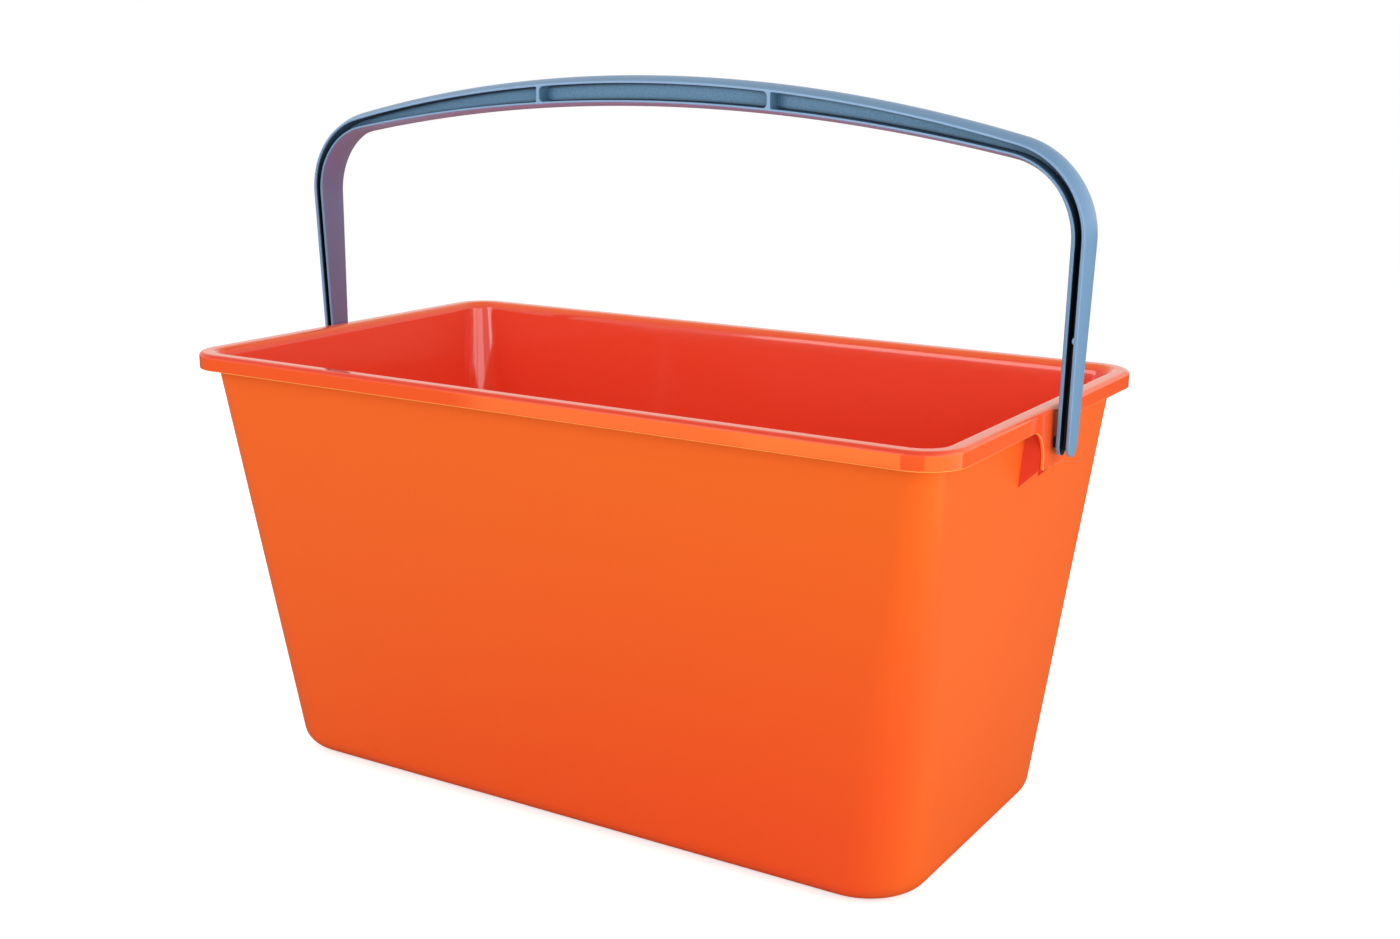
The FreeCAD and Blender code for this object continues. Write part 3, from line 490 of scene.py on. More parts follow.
def rectangle_ring():
    """Round the rectangle once: (corner, outward direction, shift along the side)."""
    ring = []
    support = 1.2
    for corner, start in (((1, -1), -90), ((1, 1), 0), ((-1, 1), 90), ((-1, -1), 180)):
        for i in range(-1, CORNER_STEPS + 2):
            step = min(max(i, 0), CORNER_STEPS)
            angle = math.radians(start + 90 * step / CORNER_STEPS)
            outward = (math.cos(angle), math.sin(angle))
            shift = (0.0, 0.0)
            if i != step:
                side = 1 if i > step else -1
                shift = (-side * support * outward[1], side * support * outward[0])
            ring.append((corner, outward, shift))
        if corner == (1, -1):
            ring += [((1, 0), (1, 0), (0, y)) for y in (-PATCH_HALF, PATCH_HALF)]
        if corner == (-1, 1):
            ring += [((-1, 0), (-1, 0), (0, y)) for y in (PATCH_HALF, -PATCH_HALF)]
    return ring


def sweep_tree():
    """Geometry nodes that sweep a section round a rectangle that changes with height."""
    tree = bpy.data.node_groups.new("section_round_rectangle", "GeometryNodeTree")
    face = tree.interface
    face.new_socket("Geometry", in_out="INPUT", socket_type="NodeSocketGeometry")
    sizes = (
        ("Foot half length", FOOT_HALF_LENGTH),
        ("Foot half width", FOOT_HALF_WIDTH),
        ("Foot corner radius", FOOT_CORNER),
        ("Length spread", LENGTH_SPREAD),
        ("Width spread", WIDTH_SPREAD),
        ("Corner change", CORNER_CHANGE),
        ("Height", HEIGHT),
    )
    settings = {}
    for name, size in sizes:
        socket = face.new_socket(name, in_out="INPUT", socket_type="NodeSocketFloat")
        settings[socket.identifier] = size * MM
    plastic = face.new_socket("Plastic", in_out="INPUT", socket_type="NodeSocketMaterial")
    face.new_socket("Geometry", in_out="OUTPUT", socket_type="NodeSocketGeometry")
    group = add(tree, "NodeGroupInput").outputs

    # The ring and the section come as one mesh of lines, and each keeps its own attributes
    on_ring = add(
        tree, "GeometryNodeInputNamedAttribute", {"Name": "on_ring"}, data_type="BOOLEAN"
    )
    split = add(
        tree,
        "GeometryNodeSeparateGeometry",
        {"Geometry": group["Geometry"], "Selection": on_ring},
        domain="POINT",
    ).outputs
    lines = []
    parted = (
        (split["Selection"], ("section", "finish")),
        (split["Inverted"], ("corner", "outward", "shift")),
    )
    for part, others in parted:
        line = add(tree, "GeometryNodeMeshToCurve", {"Mesh": part})
        for name in others:
            line = add(tree, "GeometryNodeRemoveAttribute", {"Geometry": line, "Name": name})
        lines.append(line)
    swept = add(
        tree, "GeometryNodeCurveToMesh", {"Curve": lines[0], "Profile Curve": lines[1]}
    )

    # A point lies out from its corner's centre, at the level that its part of the section follows
    section, corner, outward, shift = (
        add(tree, "GeometryNodeInputNamedAttribute", {"Name": name}, data_type="FLOAT_VECTOR")
        for name in ("section", "corner", "outward", "shift")
    )
    inset, level, height = add(tree, "ShaderNodeSeparateXYZ", {0: section}).outputs
    share = add(tree, "ShaderNodeMath", {0: level, 1: group["Height"]}, operation="DIVIDE")
    radius = add(
        tree,
        "ShaderNodeMath",
        {0: share, 1: group["Corner change"], 2: group["Foot corner radius"]},
        operation="MULTIPLY_ADD",
    )
    centres = {}
    names = (("X", "Foot half length", "Length spread"), ("Y", "Foot half width", "Width spread"))
    for axis, half, spread in names:
        side = add(
            tree,
            "ShaderNodeMath",
            {0: share, 1: group[spread], 2: group[half]},
            operation="MULTIPLY_ADD",
        )
        centres[axis] = add(tree, "ShaderNodeMath", {0: side, 1: radius}, operation="SUBTRACT")
    centre = add(tree, "ShaderNodeCombineXYZ", centres)
    spot = add(tree, "ShaderNodeVectorMath", {0: centre, 1: corner}, operation="MULTIPLY")
    reach = add(tree, "ShaderNodeMath", {0: radius, 1: inset}, operation="SUBTRACT")
    bow = add(tree, "ShaderNodeVectorMath", {0: outward, "Scale": reach}, operation="SCALE")
    rise = add(tree, "ShaderNodeCombineXYZ", {"Z": height})
    for move in (bow, shift, rise):
        spot = add(tree, "ShaderNodeVectorMath", {0: spot, 1: move}, operation="ADD")
    placed = add(tree, "GeometryNodeSetPosition", {"Geometry": swept, "Position": spot})
    real = add(tree, "GeometryNodeRealizeInstances", {"Geometry": placed})
    dressed = add(
        tree, "GeometryNodeSetMaterial", {"Geometry": real, "Material": group["Plastic"]}
    )
    add(tree, "NodeGroupOutput", {"Geometry": dressed})
    return tree, settings, plastic.identifier


def swept_shell(material):
    """The shell without its tabs, as a plain mesh."""
    section, finishes = shell_section()
    ring = rectangle_ring()
    # Before the sweep, the lines only need to be apart, and each in its order
    ring_places = [
        (c[0] + 0.1 * o[0] + s[0] * MM, c[1] + 0.1 * o[1] + s[1] * MM, 0) for c, o, s in ring
    ]
    section_places = [(5 + i * 0.01, 0, 0) for i in range(len(section))]
    n = len(ring)
    edges = [(i, (i + 1) % n) for i in range(n)]
    edges += [(n + i, n + i + 1) for i in range(len(section) - 1)]
    mesh = bpy.data.meshes.new("shell_outlines")
    mesh.from_pydata(ring_places + section_places, edges, [])
    on_section = [PLAIN] * len(section)
    vectors = {
        "corner": [(*c, 0) for c, o, s in ring] + on_section,
        "outward": [(*o, 0) for c, o, s in ring] + on_section,
        "shift": [(s[0] * MM, s[1] * MM, 0) for c, o, s in ring] + on_section,
        "section": [PLAIN] * n + [(x * MM, y * MM, z * MM) for x, y, z in section],
        "finish": [PLAIN] * n + finishes,
    }
    for name, rows in vectors.items():
        attribute = mesh.attributes.new(name, "FLOAT_VECTOR", "POINT")
        attribute.data.foreach_set("vector", [number for row in rows for number in row])
    attribute = mesh.attributes.new("on_ring", "BOOLEAN", "POINT")
    attribute.data.foreach_set("value", [True] * n + [False] * len(section))
    outline = bpy.data.objects.new("shell_outlines", mesh)
    bpy.context.collection.objects.link(outline)
    tree, settings, plastic = sweep_tree()
    modifier = outline.modifiers.new("sweep", "NODES")
    modifier.node_group = tree
    for identifier, size in settings.items():
        modifier[identifier] = size
    modifier[plastic] = material
    depsgraph = bpy.context.evaluated_depsgraph_get()
    made = bpy.data.meshes.new_from_object(outline.evaluated_get(depsgraph))
    outline.modifiers.remove(modifier)
    bpy.data.objects.remove(outline)
    return made


def fade_turn(bm):
    """Fade the rougher, painted-dark turn of the rim, round the corners, to almost none at the
    ends.
    """
    finish = bm.verts.layers.float_vector["finish"]
    corner_start = RIM_WIDTH / 2 - RIM_CORNER
    for vert in bm.verts:
        inside, wall, _ = vert[finish]
        if vert.co.z > (HEIGHT - RIM_EDGE) * MM and inside * wall > 0:
            share = (abs(vert.co.y) / MM - corner_start) / (0.8 * RIM_CORNER)
            vert[finish] *= min(1.0, max(0.15, share))


def tab_outline():
    """The skirt's lower edge round a tab: (place, direction into the plastic), as (y, z) pairs."""
    shoulder = (-TAB_HALF - TAB_SHOULDER, SKIRT_BOTTOM - TAB_SHOULDER)
    corner = (-TAB_HALF + TAB_CORNER, TAB_BOTTOM + TAB_CORNER)
    path = [((-PATCH_HALF, SKIRT_BOTTOM), (0, 1)), ((shoulder[0] - 0.8, SKIRT_BOTTOM), (0, 1))]
    for y, z in arc((0, 0), 1, 90, 0, SHOULDER_STEPS):
        path.append(((shoulder[0] + TAB_SHOULDER * y, shoulder[1] + TAB_SHOULDER * z), (y, z)))
    path.append(((-TAB_HALF, shoulder[1] - 0.8), (1, 0)))
    path.append(((-TAB_HALF, corner[1] + 0.4), (1, 0)))
    for y, z in arc((0, 0), 1, 180, 270, TAB_CORNER_STEPS):
        path.append(((corner[0] + TAB_CORNER * y, corner[1] + TAB_CORNER * z), (-y, -z)))
    path.append(((corner[0] + 0.4, TAB_BOTTOM), (0, 1)))
    other = [((-y, z), (-dy, dz)) for (y, z), (dy, dz) in reversed(path)]
    return path + other


def add_tab(bm, side):
    """Replace the skirt's middle on one end by the skirt with its tab."""
    gone = []
    for face in bm.faces:
        spot = face.calc_center_median() / MM
        at_end = spot.x * side > HALF_RIM - SKIRT_WALL - 0.01 and abs(spot.y) < PATCH_HALF
        if at_end and spot.z < SKIRT_TOP:
            gone.append(face)
    bmesh.ops.delete(bm, geom=gone, context="FACES")
    finish = bm.verts.layers.float_vector["finish"]
    rows = []
    for (y, z), (dy, dz) in tab_outline():
        edge = skirt_edge()
        spots = [(side * (HALF_RIM - depth), y + e * dy, z + e * dz) for depth, e, _ in edge]
        rows.append(new_verts(bm, spots))
        # The tab's edge gets a fainter painted highlight
        for vert, (_, _, lowest) in zip(rows[-1], edge):
            vert[finish] = (0, 0, 0.6 * lowest)
    join_rows(bm, rows, closed=False)
    # The stud's bore, with softened edges
    soft = 0.25
    half_bore = [(0.0, 0.5), (0.0, soft), (soft, 0.0)]
    bore = []
    for depth, wider in half_bore + [(SKIRT_WALL - d, w) for d, w in reversed(half_bore)]:
        ring = pivot_ring(side * (HALF_RIM - depth), BORE + wider, BORE_STEPS)
        bore.append(new_verts(bm, ring))
    join_rows(bm, bore)
    # Both flat faces, between the edge, the bore and the skirt's top
    for column, x, hole in ((0, HALF_RIM, bore[0]), (-1, HALF_RIM - SKIRT_WALL, bore[-1])):
        corners = new_verts(bm, [(side * x, y, SKIRT_TOP) for y in (PATCH_HALF, -PATCH_HALF)])
        edges = []
        for loop in ([row[column] for row in rows] + corners, hole):
            for i, vert in enumerate(loop):
                pair = (loop[i - 1], vert)
                edges.append(bm.edges.get(pair) or bm.edges.new(pair))
        bmesh.ops.triangle_fill(bm, use_beauty=True, edges=edges, normal=(side, 0, 0))


def add_gusset(bm, side, front):
    """A thin plate between the tab and the wall, closed, let into both."""

    def wall(z):
        """How far out the wall's middle lies at a height."""
        return HALF_RIM - OVERHANG + LENGTH_SPREAD * (z - HEIGHT) / HEIGHT - WALL / 2

    low = TAB_BOTTOM - GUSSET_DROP
    tab = HALF_RIM - SKIRT_WALL
    outline = [
        (tab, TAB_BOTTOM + 0.25),
        (tab, PLATE_BOTTOM + 0.5),
        (wall(PLATE_BOTTOM), PLATE_BOTTOM + 0.5),
        (wall(low), low),
    ]
    # The gussets get painted shade, for the skirt's shade over them
    levels = [(front * y, MATT_PAINTED_SHADE) for y in (TAB_HALF, TAB_HALF - GUSSET_WALL)]
    loops, faces = prism(bm, [(side * x, z) for x, z in outline], levels)
    lower = [bm.edges.get((loop[3], loop[0])) for loop in loops]
    bmesh.ops.recalc_face_normals(bm, faces=faces)
    bmesh.ops.bevel(
        bm,
        geom=lower,
        offset=0.3 * MM,
        segments=3,
        profile=0.5,
        affect="EDGES",
        clamp_overlap=True,
    )


def make_bucket(material):
    bm = bmesh.new()
    bm.from_mesh(swept_shell(material))
    bmesh.ops.remove_doubles(bm, verts=bm.verts, dist=0.002 * MM)
    rims = [edge for edge in bm.edges if edge.is_boundary]
    bmesh.ops.holes_fill(bm, edges=rims, sides=0)
    fade_turn(bm)
    for side in (1, -1):
        add_tab(bm, side)
    bmesh.ops.remove_doubles(bm, verts=bm.verts, dist=0.002 * MM)
    bmesh.ops.recalc_face_normals(bm, faces=bm.faces)
    for side in (1, -1):
        for front in (1, -1):
            add_gusset(bm, side, front)
    finished_piece(bm, "bucket", material, "bucket", "bucket_shell")


# Handle: an I section swept up one leg, over the grip and down the other
LEG_INNER = 242.6
LEG_OUTER = 249.8
LEG_LEAN = math.radians(1.5)
LEG_FLANGE = 1.9
LEG_CROWN = 0.5
LEG_END = 6.5
LEG_TAPER = 120.0
SHOULDER = 40.8
GRIP_TOP = 403.8
GRIP_BOTTOM = 392.1
GRIP_TOP_RADIUS = 910.0
GRIP_BOTTOM_RADIUS = 1120.0
GRIP_TOP_CROWN = 3.0
GRIP_BOTTOM_CROWN = 2.2
GRIP_EDGE = 1.2
BAIL_HALF = 10.0
WEB_HALF = 1.0
WEB_SETBACK = 3.0
WEB_ROOT = 0.9
FLANGE_SOFTNESS = 0.45
RIB_PLACE = 75.6
RIB_HALF = 0.95
RIB_EDGE = 0.7
OUTER_POCKET_RADIUS = 0.8
MIDDLE_POCKET_RADIUS = 2.6
PIP_HEIGHT = 282.5
PIP_Y = -6.6
PIP_RADII = (1.4, 1.4, 2.0)
STUD = 3.0
STUD_HEAD = 4.2
STUD_HEAD_THICKNESS = 1.6
STUD_HEAD_GAP = 0.4
STUD_TIP = 2.5
STUD_TIP_LENGTH = 1.8

# Each flange's free side: (x at the pivot, bend radius, grip radius, height of the grip's middle)
OUTER_SIDE = (LEG_OUTER, SHOULDER + LEG_OUTER - LEG_INNER, GRIP_TOP_RADIUS, GRIP_TOP)
INNER_SIDE = (LEG_INNER, SHOULDER, GRIP_BOTTOM_RADIUS, GRIP_BOTTOM)
WEB_LEVEL = PIVOT - LEG_END + WEB_SETBACK

BEND_STEPS = 20
GRIP_STEPS = 44
LEG_STEPS = 14
CROWN_STEPS = 12
STUD_STEPS = 32

# Gaps between the flanges: the legs', whose channel lies in full shadow, one whose channel is
# free of it, and the grip's
SHADOWED_GAP, FREE_GAP, GRIP_GAP = 3.5, 5.1, 5.5

# Finishes of the handle: (dull channel, painted deep shadow, painted bright edge)
SHADOWED = (1, 1, 0)


def leg_levels():
    """Heights of the leg's lower stations: the round end, the web's foot and the pivot."""
    turns = [math.radians(90 * i / LEG_STEPS) for i in range(LEG_STEPS)]
    levels = [PIVOT - LEG_END * math.cos(turn) for turn in turns]
    levels = [z for z in levels if abs(z - WEB_LEVEL) > 0.3]
    return sorted(levels + [WEB_LEVEL, PIVOT, PIVOT + 1.0])


def arch(side, on_leg=0.0, on_grip=0.0):
    """Points of half an arch at fixed shares: leg, bend, then grip to the middle.

    The arch lies on a flange's free side, or outward of it by one distance on the leg and by
    another on the grip.
    """
    foot, bend = side[0] + on_leg, side[1] + on_leg
    crown, top = side[2] + on_grip, side[3] + on_grip
    along = (math.sin(LEG_LEAN), math.cos(LEG_LEAN))
    across = (math.cos(LEG_LEAN), -math.sin(LEG_LEAN))
    start = (foot - bend * across[0], PIVOT - bend * across[1])
    low = top - crown
    gap = (start[0], start[1] - low)
    half = gap[0] * along[0] + gap[1] * along[1]
    rest = gap[0] ** 2 + gap[1] ** 2 - (crown - bend) ** 2
    run = -half + math.sqrt(half ** 2 - rest)
    centre = (start[0] + run * along[0], start[1] + run * along[1])
    turn = math.atan2(centre[1] - low, centre[0])
    bend_points = arc(centre, bend, -math.degrees(LEG_LEAN), math.degrees(turn), BEND_STEPS)
    first = bend_points[0]
    levels = leg_levels()
    levels += [levels[-1] + share * (first[1] - levels[-1]) for share in (0.45, 0.9, 0.985)]
    points = [(first[0] + math.tan(LEG_LEAN) * (z - first[1]), z) for z in levels]
    points += bend_points
    # Two stations close to the bend, then even steps
    shares = [0.015] + [0.04 + 0.96 * i / (GRIP_STEPS - 2) for i in range(GRIP_STEPS - 1)]
    for share in shares:
        angle = turn + (math.pi / 2 - turn) * share
        points.append((crown * math.cos(angle), low + crown * math.sin(angle)))
    return points


def half_width(z):
    """Half the handle's width at a height, which narrows to a round end at the pivot."""
    if z <= PIVOT:
        return math.sqrt(max(LEG_END ** 2 - (z - PIVOT) ** 2, 0.0))
    span = math.hypot(BAIL_HALF, LEG_TAPER)
    tilt = math.atan2(LEG_TAPER, BAIL_HALF) - math.acos(LEG_END / span)
    touch = (LEG_END * math.cos(tilt), LEG_END * math.sin(tilt))
    if z <= PIVOT + touch[1]:
        return math.sqrt(LEG_END ** 2 - (z - PIVOT) ** 2)
    share = (z - PIVOT - touch[1]) / (LEG_TAPER - touch[1])
    return min(touch[0] + (BAIL_HALF - touch[0]) * share, BAIL_HALF)


def outward_of(start, end):
    """The distance between two (x, z) places, and the direction from one to the other."""
    way = [e - s for s, e in zip(start, end)]
    deep = math.hypot(*way)
    return deep, [c / deep for c in way]


def flange(edge, crown, pocket, width, scale):
    """One flange's section from the web's front round the crown to the web's back."""
    deep, out = outward_of(pocket, edge)
    bulge = [c - e for c, e in zip(crown, edge)]
    r = min(FLANGE_SOFTNESS, deep * 0.3)
    front = [(0.0, -(WEB_HALF + WEB_ROOT) * scale), (0.0, -(width - r - 0.9 * scale))]
    for d, y in arc((r, 0.0), r, 180, 90, 3) + arc((deep - r, 0.0), r, 90, 0, 3):
        front.append((d, -(width - (r - y) * scale)))
    points = [(pocket[0] + out[0] * d, y, pocket[1] + out[1] * d) for d, y in front]
    reach = width - r * scale
    for i in range(1, CROWN_STEPS):
        y = -reach + 2 * reach * i / CROWN_STEPS
        share = 1 - (y / reach) ** 2 if reach > 0.001 else 0.0
        points.append((edge[0] + bulge[0] * share, y, edge[1] + bulge[1] * share))
    return points + [(x, -y, z) for x, y, z in reversed(points[:len(front)])]


def root_points(pocket, other):
    """The web's front at one flange: a small hollow round."""
    deep, way = outward_of(other, pocket)
    spots = [(d, -(WEB_HALF + WEB_ROOT + y)) for d, y in arc((-WEB_ROOT, 0.0), WEB_ROOT, 0, -90, 3)]
    spots = spots[1:] + [(-min(2.0, deep * 0.42), -WEB_HALF)]
    return [(pocket[0] + way[0] * d, y, pocket[1] + way[1] * d) for d, y in spots]


def flange_verts(bm, points, shadow, edge, cast):
    """A flange's vertices: painted shade at its root, a painted highlight on its edges, and its
    wide face's painted cast of orange.
    """
    made = new_verts(bm, points)
    finish = bm.verts.layers.float_vector["finish"]
    painted_cast = bm.verts.layers.float["painted_cast"]
    root_end, face_start, edge_end = 2, 7, 9
    for i, vert in enumerate(made):
        from_root = min(i, len(made) - 1 - i)
        if from_root < root_end:
            vert[finish] = (1, max(shadow, 0.9 * edge), 0)
        elif from_root < edge_end:
            vert[finish] = (0, 0, edge)
        vert[painted_cast] = cast if from_root >= face_start else 0.0
    return made


def web_verts(bm, points, shadow):
    """The web's vertices across one face: its corners lie in shadow."""
    made = new_verts(bm, points)
    finish = bm.verts.layers.float_vector["finish"]
    for i, vert in enumerate(made):
        corner = (0.9, 0.8, 0.45, 0.0)[min(i, len(made) - 1 - i)]
        vert[finish] = (1, max(shadow, corner), 0)
    return made


def section_rows(bm, outer, inner, side, has_web):
    """The vertices of one station: the outer flange, the inner flange, the web's front and back.

    A flange is given as (edge, crown, pocket) points, and the side is 1 or -1 for +X or -X.
    """
    width = half_width((outer[0][1] + inner[0][1]) / 2)
    scale = min(width / LEG_END, 1.0)
    gap = math.dist(outer[2], inner[2])
    shadow = clamp((FREE_GAP - gap) / (FREE_GAP - SHADOWED_GAP))
    # The legs' edges get less painted highlight than the grip's, and their faces less of the
    # painted orange cast
    on_grip = clamp((gap - SHADOWED_GAP) / (GRIP_GAP - SHADOWED_GAP))

    def mirrored(points):
        return [(side * x, y, z) for x, y, z in points]

    top = mirrored(flange(*outer, width, scale))
    low = mirrored(flange(*inner, width, scale))
    rows = [
        flange_verts(bm, top, shadow, 0.4 + 0.6 * on_grip, 0.0),
        flange_verts(bm, low, shadow, 0.1 + 0.7 * on_grip, 0.6 + 0.4 * on_grip),
    ]
    if has_web:
        web = root_points(outer[2], inner[2]) + root_points(inner[2], outer[2])[::-1]
        rows.append(web_verts(bm, mirrored(web), shadow))
        rows.append(web_verts(bm, mirrored([(x, -y, z) for x, y, z in web]), shadow))
    return rows


def whole_loop(top, low, front, back):
    """The whole I section as one closed loop of vertices."""
    return top + back + low[::-1] + front[::-1]


def make_handle(material):
    """One grid over the whole arch, with the web's lower ends closed, and what stands on it."""
    outer = list(zip(
        arch(OUTER_SIDE),
        arch(OUTER_SIDE, LEG_CROWN, GRIP_TOP_CROWN),
        arch(OUTER_SIDE, -LEG_FLANGE, -GRIP_EDGE),
    ))
    inner = list(zip(
        arch(INNER_SIDE),
        arch(INNER_SIDE, -LEG_CROWN, -GRIP_BOTTOM_CROWN),
        arch(INNER_SIDE, LEG_FLANGE, GRIP_EDGE),
    ))
    bm = bmesh.new()
    bm.verts.layers.float_vector.new("finish")
    bm.verts.layers.float.new("painted_cast")
    web_at = leg_levels().index(WEB_LEVEL)
    count = len(outer)
    stations = [(i, 1) for i in range(count)] + [(i, -1) for i in range(count - 2, -1, -1)]
    rows = [section_rows(bm, outer[i], inner[i], side, i >= web_at) for i, side in stations]
    for before, after in zip(rows, rows[1:]):
        if len(before) > 2 and len(after) > 2:
            join_rows(bm, (whole_loop(*before), whole_loop(*after)))
        else:
            for pair in zip(before[:2], after[:2]):
                join_rows(bm, pair)
    for row in (rows[web_at], rows[-1 - web_at]):
        top, low, front, back = row
        bm.faces.new([top[0], *front, low[0], low[-1], *back[::-1], top[-1]])
    for place in (RIB_PLACE, -RIB_PLACE):
        add_rib(bm, place)
    add_studs(bm)
    add_pip(bm)
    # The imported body's facets end a hair below the crown's true height
    for vert in bm.verts:
        vert.co.z = min(vert.co.z, cad_box[1][2])
    bmesh.ops.remove_doubles(bm, verts=bm.verts, dist=0.001 * MM)
    bmesh.ops.dissolve_degenerate(bm, dist=0.001 * MM, edges=bm.edges)
    bmesh.ops.recalc_face_normals(bm, faces=bm.faces)
    finished_piece(bm, "handle", material, "bail", "bail_handle")


def add_rib(bm, place):
    """A cross rib of the grip that flares into both flanges, wider on its middle side."""
    side = 1 if place > 0 else -1

    def pocket(x, radius, middle):
        """The height of a flange's inner face."""
        return middle - radius + math.sqrt(radius * radius - x * x)

    sink = 0.5
    outline = []
    for direction, flare in ((1, OUTER_POCKET_RADIUS), (-1, MIDDLE_POCKET_RADIUS)):
        step = side * direction
        face = place + step * RIB_HALF
        turns = [math.radians(15 * i) for i in range(7)]
        curve = [(flare * (1 - math.sin(t)), flare * (1 - math.cos(t))) for t in turns]
        sides = []
        for radius, middle, way in (
            (GRIP_TOP_RADIUS - GRIP_EDGE, GRIP_TOP - GRIP_EDGE, -1),
            (GRIP_BOTTOM_RADIUS + GRIP_EDGE, GRIP_BOTTOM + GRIP_EDGE, 1),
        ):
            chain = []
            for dx, dz in curve:
                x = face + step * dx
                chain.append((x, pocket(x, radius, middle) + way * dz))
            far = face + step * flare
            sides.append([(far, pocket(far, radius, middle) - way * sink)] + chain)
        chain = sides[0] + sides[1][::-1]
        outline += chain if direction == 1 else chain[::-1]
    end = BAIL_HALF - 0.03
    # The rib's edges get a painted highlight, its faces a little painted shade
    light, dark = (0, 0, 0.8), (1, 0.25, 0)
    levels = ((-end, light), (-end + RIB_EDGE, dark), (end - RIB_EDGE, dark), (end, light))
    prism(bm, outline, levels)


def add_pip(bm):
    """The small moulded pip in the +X leg's front channel, sunk in the outer flange."""
    finish = bm.verts.layers.float_vector["finish"]
    x = LEG_OUTER - LEG_FLANGE + math.tan(LEG_LEAN) * (PIP_HEIGHT - PIVOT)
    place = Matrix.Translation([c * MM for c in (x, PIP_Y, PIP_HEIGHT)])
    size = Matrix.Diagonal([c * MM for c in PIP_RADII] + [1.0])
    made = bmesh.ops.create_icosphere(bm, subdivisions=2, radius=1.0, matrix=place @ size)
    # The pip is painted pale, as a painted highlight
    for vert in made["verts"]:
        vert[finish] = (0, 0, 0.9)


def add_studs(bm):
    """Turned studs on the legs, whose heads snap in behind the tabs."""
    root = LEG_INNER + 1.0
    head = HALF_RIM - SKIRT_WALL - STUD_HEAD_GAP
    back = head - STUD_HEAD_THICKNESS
    tip = back - STUD_TIP_LENGTH
    soft = 0.2
    profile = (
        (root, 0.0),
        (root, STUD),
        (head, STUD),
        (head, STUD_HEAD - soft),
        (head - soft, STUD_HEAD),
        (back + soft, STUD_HEAD),
        (back, STUD_HEAD - soft / 2),
        (tip + soft, STUD_TIP + soft / 2),
        (tip, STUD_TIP - soft),
        (tip, 0.0),
    )
    # The studs are painted dark, as painted shade in the gap between leg and tab
    for side in (1, -1):
        rows = []
        for x, r in profile:
            ring = pivot_ring(side * x, r, STUD_STEPS if r else 1)
            rows.append(new_verts(bm, ring, SHADOWED))
        join_rows(bm, rows)


# Floor, backdrop and light, in metres
FLOOR_HALF = 6.0
FLOOR_DROP = 0.0004


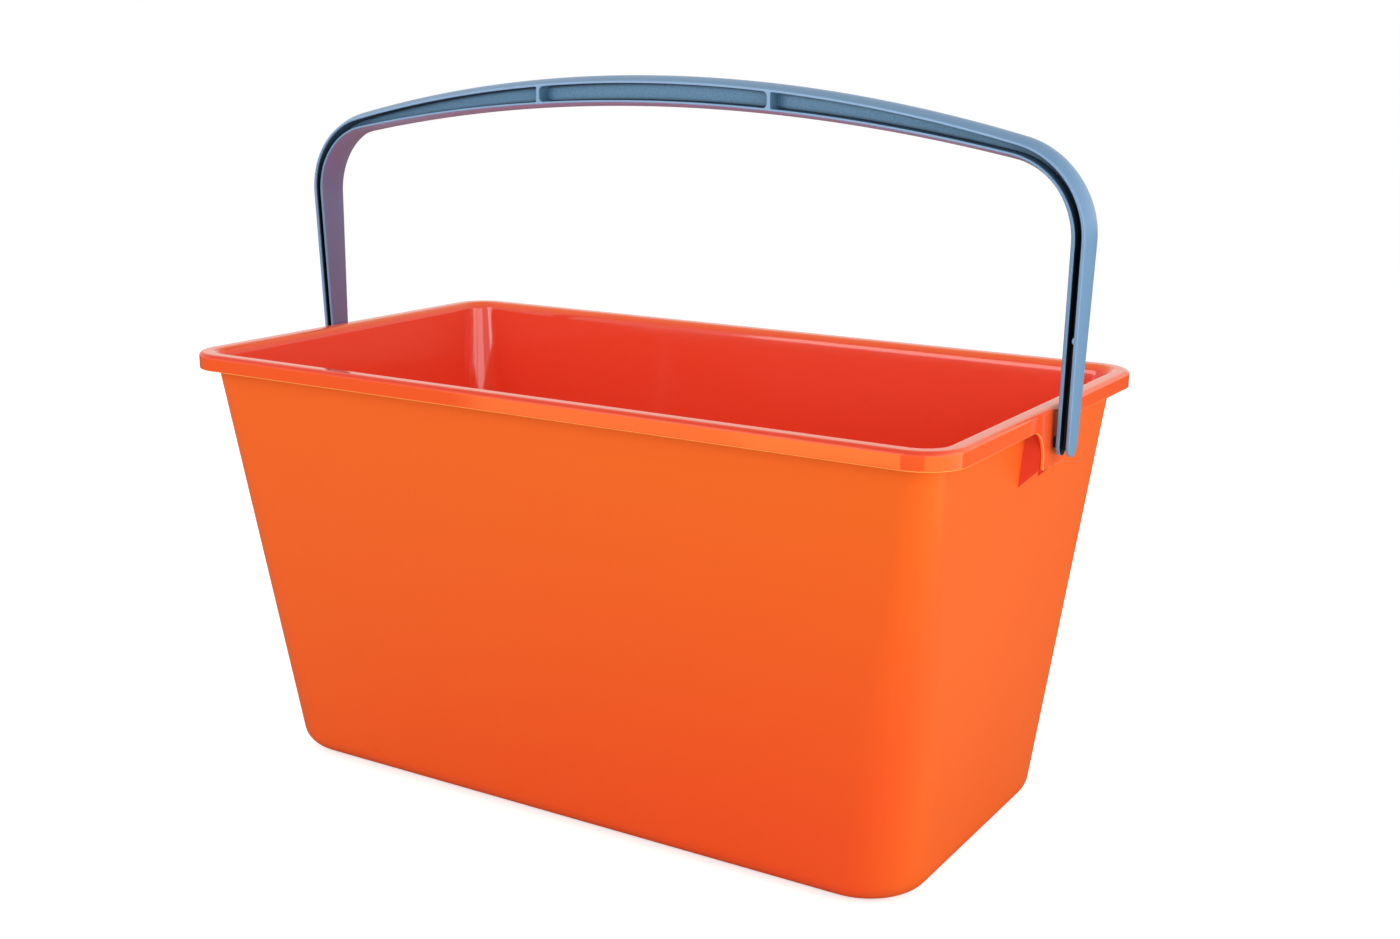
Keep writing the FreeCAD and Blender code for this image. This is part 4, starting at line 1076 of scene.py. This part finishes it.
def make_stage():
    """A white floor, which keeps the shadow, in a white world.

    The plastic mirrors the floor as the warm dark of a studio, and the world lights it at half
    its brightness.
    """
    signs = ((-1, -1), (1, -1), (1, 1), (-1, 1))
    corners = [(x * FLOOR_HALF, y * FLOOR_HALF, -FLOOR_DROP) for x, y in signs]
    mesh = bpy.data.meshes.new("floor")
    mesh.from_pydata(corners, [], [(0, 1, 2, 3)])
    floor = bpy.data.objects.new("floor", mesh)
    bpy.context.collection.objects.link(floor)
    material, tree = new_material("matt_white_paper")
    path = add(tree, "ShaderNodeLightPath").outputs
    paper = add(tree, "ShaderNodeBsdfDiffuse", {"Color": (0.8, 0.8, 0.8, 1)})
    glow = add(tree, "ShaderNodeEmission", {"Color": (1, 1, 1, 1), "Strength": 0.6})
    white = add(tree, "ShaderNodeAddShader", {0: paper, 1: glow})
    lit = add(tree, "ShaderNodeBsdfDiffuse", {"Color": (0.78, 0.78, 0.78, 1)})
    dark = add(tree, "ShaderNodeBsdfDiffuse", {"Color": (0.25, 0.2, 0.12, 1)})
    other = add(tree, "ShaderNodeMixShader", {0: path["Is Glossy Ray"], 1: lit, 2: dark})
    seen = add(tree, "ShaderNodeMixShader", {0: path["Is Camera Ray"], 1: other, 2: white})
    add(tree, "ShaderNodeOutputMaterial", {"Surface": seen})
    mesh.materials.append(material)

    world = bpy.data.worlds.new("studio")
    world.use_nodes = True
    bpy.context.scene.world = world
    tree = world.node_tree
    tree.nodes.clear()
    path = add(tree, "ShaderNodeLightPath").outputs
    dim = add(tree, "ShaderNodeBackground", {"Color": (1, 1, 1, 1), "Strength": 0.5})
    white = add(tree, "ShaderNodeBackground", {"Color": (1, 1, 1, 1), "Strength": 1.0})
    other = add(tree, "ShaderNodeMixShader", {0: path["Is Glossy Ray"], 1: dim, 2: white})
    seen = add(tree, "ShaderNodeMixShader", {0: path["Is Camera Ray"], 1: other, 2: white})
    add(tree, "ShaderNodeOutputWorld", {"Surface": seen})


def area_lamp(name, width, height, brightness, mirrored):
    """A lamp whose white front has a brightness, where 1 is white. The camera doesn't see it."""
    data = bpy.data.lights.new(name, "AREA")
    data.shape = "RECTANGLE"
    data.size, data.size_y = width, height
    data.energy = brightness * math.pi * width * height
    lamp = bpy.data.objects.new(name, data)
    bpy.context.collection.objects.link(lamp)
    lamp.visible_camera = False
    lamp.visible_glossy = mirrored
    return lamp


def softbox(name, near, far, low, high, brightness, mirrored=True):
    """An upright softbox between two places in plan and two heights, facing left of that line."""
    width = math.dist(near, far)
    lamp = area_lamp(name, width, high - low, brightness, mirrored)
    lamp.location = ((near[0] + far[0]) / 2, (near[1] + far[1]) / 2, (low + high) / 2)
    along = Vector((far[0] - near[0], far[1] - near[1], 0)) / width
    facing = Vector((-along.y, along.x, 0))
    lamp.rotation_euler = facing.to_track_quat("-Z", "Y").to_euler()


bpy.context.scene.view_settings.view_transform = "Standard"
make_camera()
make_stage()
# What the plastic mirrors in front: two softboxes, and two low reflectors under the left one
softbox("right_softbox", (0.73, -0.94), (0.72, 0.27), 0.0, 0.65, 1.9)
softbox("left_softbox", (-0.62, -0.94), (-0.05, -1.06), 0.32, 0.9, 3.15)
softbox("left_reflector", (-0.66, -0.92), (-0.36, -0.98), 0.0, 0.22, 1.7)
softbox("front_reflector", (-0.36, -0.98), (-0.11, -1.03), 0.0, 0.22, 2.6)
# The fills and the overhead softbox leave no reflections
softbox("rear_fill", (0.7, 1.2), (-0.7, 1.2), 0.0, 1.0, 1.4, mirrored=False)
softbox("left_fill", (-1.2, 0.7), (-1.2, -0.4), 0.0, 1.0, 1.4, mirrored=False)
overhead = area_lamp("overhead_softbox", 1.2, 1.2, 1.15, mirrored=False)
overhead.location = (-0.2, 0.1, 1.9)
make_bucket(polypropylene_orange())
make_handle(polypropylene_blue())
